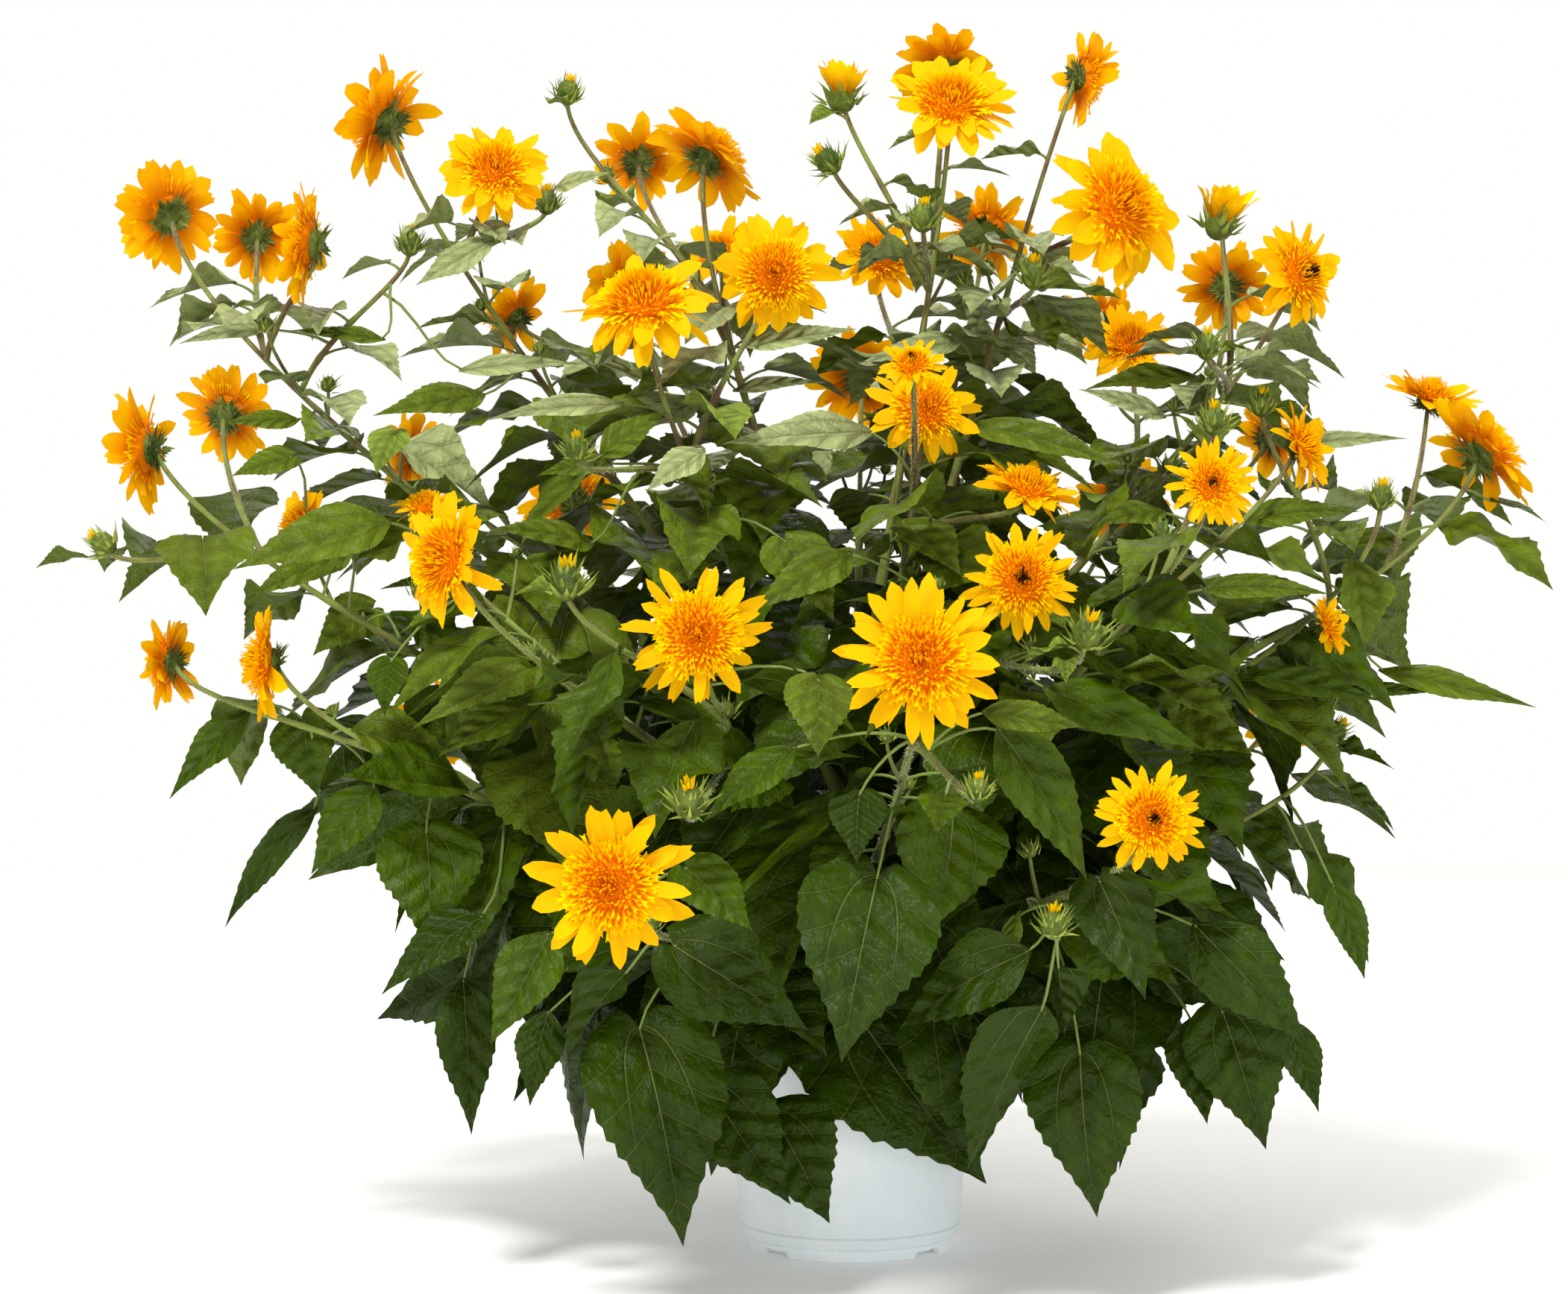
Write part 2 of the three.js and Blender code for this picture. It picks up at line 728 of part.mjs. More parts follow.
const boxesTouch = (a, b) => [0, 1, 2].every((k) => a.min[k] <= b.max[k] && b.min[k] <= a.max[k]);

function keep(owner, solid) {
  limbs.push({ owner, solid, box: solid.boundingBox() });
  return solid;
}

// True if a leaf, grown a little on all sides, touches a piece of another node,
// or if its blade touches a piece of its own.
function blocked(owner, leaf) {
  const guard = leafSolid(leaf, LEAF.guard);
  const bladeFoot = leaf.root.clone().addScaledVector(leaf.out, leaf.stalk);
  const blade = leafSolid({ ...leaf, root: bladeFoot, stalk: leaf.blade * 0.1 }, LEAF.guard);
  const box = guard.boundingBox();
  return limbs
    .filter((piece) => boxesTouch(piece.box, box))
    .some((piece) => !(piece.owner === owner ? blade : guard).intersect(piece.solid).isEmpty());
}

const boughRadius = (t) => blend(SHOOT.footRadius, SHOOT.tipRadius, Math.min(1, t * 1.4));
const sideRadius = (t) => blend(SHOOT.sideFootRadius, SHOOT.sideTipRadius, t);

// ---------------------------------------------------------------- the whole plant

const plant = new THREE.Group();
plant.name = "sunflower_plant";

const potSolid = keep("pot", pot());
const peatSolid = keep("peat", peat());
const stemSolid = keep("main_stem", mainStem());
const stemRoom = mainStem(CLEARANCE); // what every bough and twig is cut back to
plant.add(meshOf("pot", potSolid, WHITE_PLASTIC));
plant.add(meshOf("peat", peatSolid, PEAT));
plant.add(meshOf("main_stem", stemSolid, STEM_GREEN));

// The stalks and heads of every shoot come first, so that each leaf can keep clear of all of them.
const masses = SHOOTS.map((shoot, index) => {
  const name = `foliage_${shoot.name}`;
  const leader = leaderRoute(shoot);
  const hasBough = shoot.bough !== false;
  if (hasBough) {
    const bough = limb(leader, 0, SHOOT.boughShare, boughRadius, 5, SHOOT.boughSteps).subtract(stemRoom);
    plant.add(meshOf(`shoot_${shoot.name}`, keep(`shoot_${shoot.name}`, join([bough])), STEM_GREEN));
  }
  const start = leafyFrom(shoot);
  const twig = limb(leader, start, 1, boughRadius, 3, SHOOT.leaderSteps);
  const sides = sideRoutes(shoot, leader);
  const stalks = [
    hasBough ? twig : join([twig.subtract(stemRoom)]),
    ...sides.map((side) => limb(side, 0, 1, sideRadius, 3, SHOOT.sideSteps)),
  ];
  const heads = shoot.tips.map((tip) => (tip.open ? flowerHead(tip) : budHead(tip)));
  [...stalks, ...heads].forEach((solid) => keep(name, solid));
  const leaves = (shoot.leaves ?? []).map((tip) => leafTo(tip, [leader, ...sides]));
  const leafStart = hasBough ? start + SHOOT.bareTwig : SHOOT.bareFoot;
  leaves.push(...leavesOf(leader, leafStart, SHOOT.leafShare, index, { hang: shoot.foot < 230 ? 1 : 0 }));
  sides.forEach((side, k) => {
    const [from, to] = SHOOT.sideLeaves;
    leaves.push(...leavesOf(side, from, to, 100 + index * 8 + k, { young: SHOOT.sideAge }));
  });
  return { name, stalks, heads, leaves };
});

// A skirt of short twigs low on the main stem carries the largest leaves, which hang round the pot.
for (let i = 0; i < SKIRT.count; i++) {
  const name = `skirt_${i + 1}`;
  const azimuth = (i / SKIRT.count) * 360 + SKIRT.turn;
  const foot = stemPoint(SKIRT.footHeight + (i % 3) * SKIRT.footStep);
  const outward = heading(azimuth, 20);
  const end = heading(azimuth).multiplyScalar(SKIRT.reach * blend(0.85, 1.15, chance(200, i)));
  end.z = SKIRT.rise + (chance(201, i) - 0.5) * 40;
  const middle = foot.clone().addScaledVector(outward, SKIRT.reach * 0.5);
  const route = new Route(new THREE.QuadraticBezierCurve3(foot, middle, end), evenly(0, 1, SKIRT.steps));
  const radius = (t) => blend(SKIRT.footRadius, SKIRT.tipRadius, t);
  const twig = keep(name, join([limb(route, 0, 1, radius, 3, SKIRT.steps).subtract(stemRoom)]));
  const low = heading(azimuth + 5).multiplyScalar(SKIRT.reach * 1.1);
  low.z = SKIRT.lowest + chance(202, i) * 50;
  const leaves = [leafTo(low, [route])];
  leaves.push(...leavesOf(route, SKIRT.bareFoot, 1, 300 + i, { length: SKIRT.leafLength, hang: SKIRT.hang }));
  leaves.forEach((leaf) => {
    leaf.blade = Math.max(leaf.blade, SKIRT.leafLength * 0.8);
    leaf.width = leaf.blade * LEAF.width[0];
  });
  masses.push({ name, stalks: [twig], heads: [], leaves });
}

for (const { name, stalks, heads, leaves } of masses) {
  const grown = [];
  for (const leaf of leaves) {
    if (blocked(name, leaf)) continue;
    grown.push(keep(name, leafSolid(leaf)));
  }
  plant.add(meshOf(name, join([...stalks, ...heads, ...grown]), LEAF_GREEN));
}

export default plant;
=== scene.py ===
# A bushy, many-flowered sunflower plant in a white nursery pot: its finish, and every leaf,
# flower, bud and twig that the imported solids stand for.
#
# Metres, +Z up, -Y the front. The origin is the middle of the pot's flat underside.

import math

import bmesh
import bpy
import numpy as np
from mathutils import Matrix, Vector, noise
from mathutils.bvhtree import BVHTree


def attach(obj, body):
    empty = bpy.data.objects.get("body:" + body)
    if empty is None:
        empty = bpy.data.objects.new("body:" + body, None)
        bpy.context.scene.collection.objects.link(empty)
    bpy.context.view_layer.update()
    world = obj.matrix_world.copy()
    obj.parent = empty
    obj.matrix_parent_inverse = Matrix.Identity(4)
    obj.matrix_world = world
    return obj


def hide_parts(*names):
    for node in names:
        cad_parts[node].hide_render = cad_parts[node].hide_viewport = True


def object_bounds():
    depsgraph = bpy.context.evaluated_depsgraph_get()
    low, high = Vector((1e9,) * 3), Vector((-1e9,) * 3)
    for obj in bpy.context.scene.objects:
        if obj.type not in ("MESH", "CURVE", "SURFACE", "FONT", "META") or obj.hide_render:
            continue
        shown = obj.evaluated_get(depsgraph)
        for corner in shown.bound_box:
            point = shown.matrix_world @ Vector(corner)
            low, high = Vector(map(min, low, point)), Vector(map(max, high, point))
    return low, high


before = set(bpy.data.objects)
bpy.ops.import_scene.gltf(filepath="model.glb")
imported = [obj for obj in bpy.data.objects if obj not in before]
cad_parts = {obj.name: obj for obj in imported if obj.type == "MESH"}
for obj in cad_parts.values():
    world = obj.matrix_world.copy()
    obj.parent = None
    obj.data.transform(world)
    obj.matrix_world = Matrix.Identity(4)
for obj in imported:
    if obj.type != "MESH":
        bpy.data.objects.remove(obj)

cad_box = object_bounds()

# ---------------------------------------------------------------- the studio
# A camera level with the middle of the plant, a plain pale floor, and soft lights in a pale
# room: a broad one high in front to the left, and weak ones low in front, at the right and behind.

scene = bpy.context.scene
scene.view_settings.view_transform = "Standard"

PALE_FLOOR = "#FDFDFB"
FLOOR_RADIUS = 4.5
CAMERA_PLACE = (-0.0552, -2.5, 0.4995)
CAMERA_LENS = 68.25  # millimetres, on a sensor 36 mm wide


def colour(code):
    """A colour from a paint chart's code, in the linear values that shaders take."""
    parts = [int(code[i : i + 2], 16) / 255 for i in (1, 3, 5)]
    return [c / 12.92 if c <= 0.04045 else ((c + 0.055) / 1.055) ** 2.4 for c in parts] + [1.0]


def add(tree, kind, settings=None, **inputs):
    """A node of a kind in a tree, its inputs set or linked by name, or by number after an i.
    A colour is given as its code or as its linear values."""
    made = tree.nodes.new("ShaderNode" + kind)
    for key, value in (settings or {}).items():
        setattr(made, key, value)
    for key, value in inputs.items():
        socket = made.inputs[int(key[1:])] if key[1:].isdigit() else made.inputs[key.replace("_", " ")]
        if isinstance(value, bpy.types.NodeSocket):
            tree.links.new(value, socket)
        else:
            socket.default_value = colour(value) if isinstance(value, str) else value
    return made


def tint(tree, factor, low, high):
    """The colour between two, at a factor from 0 to 1."""
    return add(tree, "Mix", {"data_type": "RGBA"}, i0=factor, i6=low, i7=high).outputs[2]


def sum_of(tree, operation, *values):
    """The result of a Math node."""
    inputs = {f"i{i}": value for i, value in enumerate(values)}
    return add(tree, "Math", {"operation": operation}, **inputs).outputs[0]


def times(tree, value, other):
    return sum_of(tree, "MULTIPLY", value, other)


def plus(tree, value, other):
    return sum_of(tree, "ADD", value, other)


def between(tree, value, low, high, to=(0.0, 1.0)):
    """A value's place between two others, eased in and out."""
    inputs = {"Value": value, "From_Min": low, "From_Max": high, "To_Min": to[0], "To_Max": to[1]}
    return add(tree, "MapRange", {"interpolation_type": "SMOOTHSTEP"}, **inputs).outputs[0]


def finish(name, **inputs):
    """A new material, its tree and its Principled shader, with the shader's sockets set."""
    material = bpy.data.materials.new(name)
    material.use_nodes = True
    tree = material.node_tree
    shader = tree.nodes["Principled BSDF"]
    for key, value in inputs.items():
        shader.inputs[key.replace("_", " ")].default_value = value
    return material, tree, shader


def painted(tree, shader, skin):
    """Gives a shader its colour."""
    tree.links.new(skin, shader.inputs["Base Color"])


def let_light_through(tree, shader, hue, share):
    """Gives a thin petal or blade the light that shines through it from behind."""
    glow = add(tree, "BsdfTranslucent", Color=hue)
    mixed = add(tree, "MixShader", i0=share, i1=shader.outputs[0], i2=glow.outputs[0])
    tree.links.new(mixed.outputs[0], tree.nodes["Material Output"].inputs["Surface"])


def turned_to(thing, place, aim):
    thing.location = place
    thing.rotation_euler = (Vector(aim) - Vector(place)).to_track_quat("-Z", "Y").to_euler()


def softbox(name, place, aim, width, watts):
    lamp = bpy.data.lights.new(name, "AREA")
    lamp.shape = "DISK"
    lamp.size = width
    lamp.energy = watts
    box = bpy.data.objects.new(name, lamp)
    scene.collection.objects.link(box)
    turned_to(box, place, aim)


camera = bpy.data.objects.new("camera", bpy.data.cameras.new("camera"))
camera.data.lens = CAMERA_LENS
camera.location = CAMERA_PLACE
camera.rotation_euler = (math.radians(90), 0, 0)
scene.collection.objects.link(camera)
scene.camera = camera

MIDDLE = (0, 0, 0.55)
softbox("light_over_front", (-1.7, -3.2, 5.55), MIDDLE, 1.5, 375)
softbox("light_low_front", (0.5, -3.2, 0.5), MIDDLE, 1.2, 20)
softbox("light_right", (3.0, -1.6, 1.8), MIDDLE, 2.0, 14)
softbox("light_behind", (0.4, 2.8, 2.6), MIDDLE, 2.2, 26)

world = bpy.data.worlds.new("studio")
world.use_nodes = True
scene.world = world
sky = world.node_tree
seen = add(sky, "Background", Color="#FFFFFD", Strength=1.0)
lit = sky.nodes["Background"]
lit.inputs["Color"].default_value = colour("#FBFBF7")
lit.inputs["Strength"].default_value = 0.70
path = add(sky, "LightPath")
shown = add(sky, "MixShader", i0=path.outputs["Is Camera Ray"], i1=lit.outputs[0], i2=seen.outputs[0])
sky.links.new(shown.outputs[0], sky.nodes["World Output"].inputs["Surface"])

bm = bmesh.new()
bmesh.ops.create_circle(bm, cap_ends=True, segments=96, radius=FLOOR_RADIUS)
bmesh.ops.translate(bm, verts=bm.verts, vec=(0, 0, -0.0005))
floor_mesh = bpy.data.meshes.new("floor")
bm.to_mesh(floor_mesh)
bm.free()
floor = bpy.data.objects.new("floor", floor_mesh)
scene.collection.objects.link(floor)
floor_white = colour(PALE_FLOOR)
floor_finish = {"Base_Color": floor_white, "Emission_Color": floor_white, "Emission_Strength": 0.1}
floor_mesh.materials.append(finish("pale_floor", Roughness=0.85, **floor_finish)[0])

# ---------------------------------------------------------------- the pot
# A white nursery pot, moulded in one piece of thin plastic. It stands on a slimmer foot ring
# that four notches let water out of, and a rolled lip stiffens its rim.

POT_HEIGHT = 0.195
POT_RING_RADIUS = 0.0925  # where the wall stands on the foot ring
POT_TAPER = 0.061  # growth of the radius for each metre of height
POT_WALL = 0.0024
RING_HEIGHT = 0.011
RING_INSET = 0.0035
RING_WIDTH = 0.005
POT_HOLLOW = 0.0025  # how far the underside stands clear of the floor within the ring
EDGE = 0.0005  # the size of a softened edge
POT_FLOOR = 0.006
LIP_HEIGHT = 0.013
LIP_OVERHANG = 0.004
NOTCHES = 4
NOTCH_HALF_WIDTH = 0.015
NOTCH_RISE = 0.0055
POT_STEPS = 144
SEAM_HEIGHT = 0.0185  # of the mould's seam, a low ridge round the wall
SEAM_STANDS = 0.0007
SEAM_HALF_WIDTH = 0.0012
SCUFFS = 7.0  # patches of handling marks for each metre


def pot_radius(height):
    return POT_RING_RADIUS + POT_TAPER * (height - RING_HEIGHT)


def mottle_group():
    """Soft patches and fine specks, the uneven tone of plastic, peat, stems and blades."""
    tree = bpy.data.node_groups.new("mottle", "ShaderNodeTree")
    for label, value in (("Patches", 10.0), ("Specks", 200.0)):
        tree.interface.new_socket(label, in_out="INPUT", socket_type="NodeSocketFloat").default_value = value
    for label in ("Patch", "Speck", "Height"):
        tree.interface.new_socket(label, in_out="OUTPUT", socket_type="NodeSocketFloat")
    given = tree.nodes.new("NodeGroupInput").outputs
    place = add(tree, "TexCoord").outputs["Object"]
    patch = add(tree, "TexNoise", Vector=place, Scale=given["Patches"], Detail=3.0, Roughness=0.6)
    speck = add(tree, "TexNoise", Vector=place, Scale=given["Specks"], Detail=2.0, Roughness=0.7)
    result = tree.nodes.new("NodeGroupOutput").inputs
    tree.links.new(between(tree, patch.outputs[0], 0.32, 0.68), result["Patch"])
    tree.links.new(between(tree, speck.outputs[0], 0.35, 0.65), result["Speck"])
    tree.links.new(speck.outputs[0], result["Height"])
    return tree


MOTTLE = mottle_group()


def mottled(tree, patches, specks):
    made = add(tree, "Group")
    made.node_tree = MOTTLE
    made.inputs["Patches"].default_value = patches
    made.inputs["Specks"].default_value = specks
    return made.outputs


def raised(tree, shader, height, strength, distance):
    """Gives a shader the relief of a height."""
    bump = add(tree, "Bump", Height=height, Strength=strength, Distance=distance)
    tree.links.new(bump.outputs[0], shader.inputs["Normal"])


def piece(name, mesh, paints, slot, *nodes):
    """Puts a finished mesh in the scene as a piece of the plant."""
    made = bpy.data.objects.new(name, mesh)
    scene.collection.objects.link(made)
    for paint in paints:
        mesh.materials.append(paint)
    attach(made, "root")
    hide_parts(*nodes)
    return made


def mesh_of(name, bm, smooth_below=40):
    """A bmesh as a mesh, shaded smooth except over edges sharper than an angle."""
    for face in bm.faces:
        face.smooth = True
    for edge in bm.edges:
        edge.smooth = len(edge.link_faces) == 2 and edge.calc_face_angle() < math.radians(smooth_below)
    mesh = bpy.data.meshes.new(name)
    bm.to_mesh(mesh)
    bm.free()
    return mesh


def white_plastic():
    paint, tree, shader = finish("white_plastic", Roughness=0.42, Specular_IOR_Level=0.45)
    marks = mottled(tree, SCUFFS, 260.0)
    cloudy = tint(tree, marks["Patch"], "#F6FBFD", "#E6F0F4")
    dusty = times(tree, marks["Speck"], 0.12)
    painted(tree, shader, tint(tree, dusty, cloudy, "#D2DCDE"))
    tree.links.new(between(tree, marks["Patch"], 0.0, 1.0, (0.36, 0.5)), shader.inputs["Roughness"])
    raised(tree, shader, marks["Height"], 0.25, 0.0006)
    return paint


def spun(profile, steps):
    """A round shape turned about the upright axis from a profile of radii and heights."""
    bm = bmesh.new()
    chain = [bm.verts.new((radius, 0, height)) for radius, height in profile]
    edges = [bm.edges.new(pair) for pair in zip(chain, chain[1:])]
    middle = {"cent": (0, 0, 0), "axis": (0, 0, 1)}
    bmesh.ops.spin(bm, geom=chain + edges, angle=math.tau, steps=steps, use_merge=True, **middle)
    bmesh.ops.remove_doubles(bm, verts=bm.verts, dist=1e-5)
    return bm


lip_foot = POT_HEIGHT - LIP_HEIGHT
ring = POT_RING_RADIUS - RING_INSET
seam = pot_radius(SEAM_HEIGHT)
rim = pot_radius(POT_HEIGHT)
profile = [
    (0.0, POT_HOLLOW),
    (ring - 0.006, POT_HOLLOW),
    (ring - RING_WIDTH, 0.0),
    (ring, 0.0),
    (ring + 0.0004, RING_HEIGHT - 0.0025),
    (POT_RING_RADIUS - EDGE, RING_HEIGHT - EDGE),
    (pot_radius(RING_HEIGHT + 0.002), RING_HEIGHT + 0.002),
    (seam - 0.0002, SEAM_HEIGHT - SEAM_HALF_WIDTH),
    (seam + SEAM_STANDS, SEAM_HEIGHT),
    (seam - 0.0002, SEAM_HEIGHT + SEAM_HALF_WIDTH),
    (pot_radius(0.06), 0.06),
    (pot_radius(0.12), 0.12),
    (pot_radius(lip_foot), lip_foot),
    (pot_radius(lip_foot) + LIP_OVERHANG, lip_foot + EDGE),
    (rim + LIP_OVERHANG, POT_HEIGHT - 2 * EDGE),
    (rim + LIP_OVERHANG - 2 * EDGE, POT_HEIGHT),
    (rim - POT_WALL + 0.0006, POT_HEIGHT),
    (rim - POT_WALL, POT_HEIGHT - 0.0008),
    (pot_radius(POT_FLOOR) - POT_WALL - 0.002, POT_FLOOR),
    (0.0, POT_FLOOR),
]
bm = spun(profile, POT_STEPS)
for v in bm.verts:
    turn = math.atan2(v.co.y, v.co.x) * NOTCHES / math.tau - 0.5
    across = abs(turn - round(turn)) * math.tau / NOTCHES * POT_RING_RADIUS
    on_ring = v.co.z < 0.001 and math.hypot(v.co.x, v.co.y) > POT_RING_RADIUS - 0.02
    if on_ring and across < NOTCH_HALF_WIDTH:
        v.co.z += NOTCH_RISE * min(1.0, (NOTCH_HALF_WIDTH - across) / 0.003)
bmesh.ops.recalc_face_normals(bm, faces=bm.faces)
piece("nursery_pot", mesh_of("nursery_pot", bm, 24), [white_plastic()], "pot", "pot")

# ---------------------------------------------------------------- the peat
# Dark, crumbly peat fills the pot to 20 mm below its rim, with lumps of coir and bark and
# white grains of perlite lying on it.

PEAT_TOP = POT_HEIGHT - 0.020
PEAT_RINGS = 26
PEAT_STEPS = 72
PEAT_LUMPS = 0.0035
CRUMBS = 420
CRUMB_WIDTHS = 0.002, 0.009
GRAINS = 90
GRAIN_WIDTHS = 0.0015, 0.004
CRUMBS_CLEAR = 0.006  # of the pot's wall


def chance(*keys):
    """A repeatable number from 0 to 1 for each set of whole-number keys."""
    strides = (12.9898, 78.233, 37.719, 94.673)
    wave = math.sin(sum((key + 1) * stride for key, stride in zip(keys, strides))) * 43758.5453
    return wave - math.floor(wave)


class Shape:
    """A small mesh's points, faces and paint numbers as arrays, to be set down many times."""

    def __init__(self, bm):
        bm.verts.index_update()
        faces = list(bm.faces)
        self.points = np.array([v.co[:] for v in bm.verts])
        self.corners = np.array([v.index for face in faces for v in face.verts])
        self.sizes = np.array([len(face.verts) for face in faces])
        self.paints = np.array([face.material_index for face in faces])
        self.flat = self.points[:, :2].copy()
        bm.free()

    def faces(self):
        return np.split(self.corners, np.cumsum(self.sizes)[:-1])


def heap(name, batches, paints, slot, *nodes):
    """One piece joined from many copies of some shapes: each batch is a shape, its copies' placed
    points and, if they differ from copy to copy, their places on the piece's flat map."""
    points, corners, sizes, kinds, maps = [], [], [], [], []
    first = 0
    for shape, placed, *flat in batches:
        count, each = placed.shape[:2]
        if not count:
            continue
        steps = first + np.arange(count)[:, None] * each
        points.append(placed.reshape(-1, 3))
        corners.append((shape.corners + steps).ravel())
        sizes.append(np.tile(shape.sizes, count))
        kinds.append(np.tile(shape.paints, count))
        spread = flat[0] if flat else np.broadcast_to(shape.flat, (count, each, 2))
        maps.append(spread[:, shape.corners].reshape(-1, 2))
        first += count * each
    points, corners, sizes, kinds, maps = map(np.concatenate, (points, corners, sizes, kinds, maps))
    mesh = bpy.data.meshes.new(name)
    mesh.vertices.add(len(points))
    mesh.vertices.foreach_set("co", points.astype(np.float32).ravel())
    mesh.loops.add(len(corners))
    mesh.loops.foreach_set("vertex_index", corners.astype(np.int32))
    mesh.polygons.add(len(sizes))
    mesh.polygons.foreach_set("loop_start", np.concatenate([[0], np.cumsum(sizes)[:-1]]).astype(np.int32))
    mesh.polygons.foreach_set("material_index", kinds.astype(np.int32))
    mesh.polygons.foreach_set("use_smooth", np.ones(len(sizes), bool))
    mesh.uv_layers.new(name="flat").uv.foreach_set("vector", maps.astype(np.float32).ravel())
    mesh.update(calc_edges=True)
    mesh.validate()
    return piece(name, mesh, paints, slot, *nodes)


def dark_peat():
    paint, tree, shader = finish("dark_peat", Roughness=0.95, Specular_IOR_Level=0.2)
    marks = mottled(tree, 60.0, 700.0)
    damp = tint(tree, marks["Patch"], "#1F150D", "#3A2819")
    fibres = times(tree, marks["Speck"], 0.4)
    painted(tree, shader, tint(tree, fibres, damp, "#4B3522"))
    raised(tree, shader, marks["Height"], 1.0, 0.002)
    return paint


def mottled_skin(name, mark, low, high, patches, specks, relief=(), **inputs):
    """A plain skin whose colour runs between two over its patches or its specks."""
    paint, tree, shader = finish(name, **inputs)
    marks = mottled(tree, patches, specks)
    painted(tree, shader, tint(tree, marks[mark], low, high))
    if relief:
        raised(tree, shader, marks["Height"], *relief)
    return paint


def lump(squash, roughness, seed):
    """A crumb of soil of unit width."""
    bm = bmesh.new()
    bmesh.ops.create_icosphere(bm, subdivisions=1, radius=0.5)
    for i, v in enumerate(bm.verts):
        v.co *= 1 + (chance(seed, i) - 0.5) * roughness
    bmesh.ops.scale(bm, verts=bm.verts, vec=(1, squash, squash))
    return Shape(bm)


def strewn(shape, count, seed, least, most, reach):
    """Copies of a lump that lie about on the peat, clear of the stem and the wall."""
    placed = []
    for i in range(count):
        far = reach * math.sqrt(0.05 + 0.95 * chance(seed, i, 1))
        around = math.tau * chance(seed, i, 2)
        size = least + (most - least) * chance(seed, i, 3) ** 2
        spin = Vector((1, 0, 0)).rotation_difference(Vector([chance(seed, i, k) - 0.5 for k in (4, 5, 6)]))
        turned = shape.points @ np.array(spin.to_matrix()).T * size
        placed.append(turned + [far * math.cos(around), far * math.sin(around), PEAT_TOP + size * 0.1])
    return np.array(placed)


peat_reach = pot_radius(PEAT_TOP) - POT_WALL - 0.0006
peat_foot = POT_FLOOR + 0.0005
foot = [(0, peat_foot), (pot_radius(peat_foot) - POT_WALL - 0.003, peat_foot)]
rings = [(peat_reach * (1 - i / PEAT_RINGS) ** 0.8, PEAT_TOP) for i in range(PEAT_RINGS + 1)]
bm = spun(foot + rings, PEAT_STEPS)
for v in bm.verts:
    if v.co.z > PEAT_TOP - 0.001:
        v.co.z += PEAT_LUMPS * (noise.fractal(v.co * 90, 0.6, 2.0, 4) - 0.35)
bmesh.ops.recalc_face_normals(bm, faces=bm.faces)
piece("peat_bed", mesh_of("peat_bed", bm, 60), [dark_peat()], "peat", "peat")
lumps = [lump(0.7, 0.5, seed) for seed in (1, 2, 3)]
clear = peat_reach - CRUMBS_CLEAR
third = CRUMBS // 3
crumbs = [(shape, strewn(shape, third, 10 + i, *CRUMB_WIDTHS, clear)) for i, shape in enumerate(lumps)]
heap("peat_crumbs", crumbs, [bpy.data.materials["dark_peat"]], "peat")
grains = strewn(lumps[0], GRAINS, 20, *GRAIN_WIDTHS, clear)
grain_white = "pale_mineral", "Patch", "#EDEBE4", "#C9C4B8", 300.0, 1500.0, (0.5, 0.0005)
heap("perlite", [(lumps[0], grains)], [mottled_skin(*grain_white, Roughness=0.9)], "peat")

# ---------------------------------------------------------------- the main stem
# One ribbed, bristly green stem comes up through the middle of the peat, flared and corky
# at its foot, and leans a little as it thins. Every shoot of the plant leaves it.

STEM_TOP = 0.440
STEM_FOOT_RADIUS = 0.017
STEM_RADIUS = 0.0115
STEM_TIP_RADIUS = 0.0065
FLARE_HEIGHT = 0.026
STEM_LEAN = (0.009, -0.006)
STEM_RIBS = 9
RIB_DEPTH = 0.045  # of the radius
STEM_TUBE = 27, 60  # its sides, and its steps along its length
SWELL_LENGTH = 0.004  # of the swelling where leaves stand
UP = np.array([0.0, 0.0, 1.0])


def at(*place):
    return np.array(place, float)


def unit(vector):
    return vector / np.linalg.norm(vector, axis=-1, keepdims=True)


def lerp(low, high, share):
    return low + (high - low) * share


def heading(azimuth, rise=0):
    """The unit vector at an azimuth (0 to the front, 90 to the right) and a rise, in degrees."""
    a, e = math.radians(azimuth), math.radians(rise)
    return at(math.sin(a) * math.cos(e), -math.cos(a) * math.cos(e), math.sin(e))


class Stalk:
    """The route of a stem or stalk: a smooth curve through space, from its foot to its tip."""

    def __init__(self, start, after_start, before_end, end):
        self.ends = start, after_start, before_end, end
        self.length = np.linalg.norm(np.diff(self.at(np.linspace(0, 1, 25)), axis=0), axis=1).sum()
        self.nodes = []  # shares of the route at which leaves stand

    def at(self, t):
        t = np.asarray(t, float)[..., None]
        a, b, c, d = self.ends
        return a * (1 - t) ** 3 + b * 3 * t * (1 - t) ** 2 + c * 3 * t**2 * (1 - t) + d * t**3

    def way(self, t):
        t = np.asarray(t, float)
        return unit(self.at(np.minimum(t + 0.01, 1.0)) - self.at(np.maximum(t - 0.01, 0.0)))


def tube(sides, steps):
    """A straight tube of unit radius and length, cut in steps along its length."""
    bm = bmesh.new()
    bmesh.ops.create_cone(bm, cap_ends=True, segments=sides, radius1=1, radius2=1, depth=1)
    uprights = [edge for edge in bm.edges if abs(edge.verts[0].co.z - edge.verts[1].co.z) > 0.5]
    bmesh.ops.subdivide_edges(bm, edges=uprights, cuts=steps - 1)
    bmesh.ops.translate(bm, verts=bm.verts, vec=(0, 0, 0.5))
    shape = Shape(bm)
    shape.flat[:, 0] = np.abs(np.arctan2(shape.points[:, 1], shape.points[:, 0])) / math.pi
    shape.flat[:, 1] = shape.points[:, 2]
    return shape


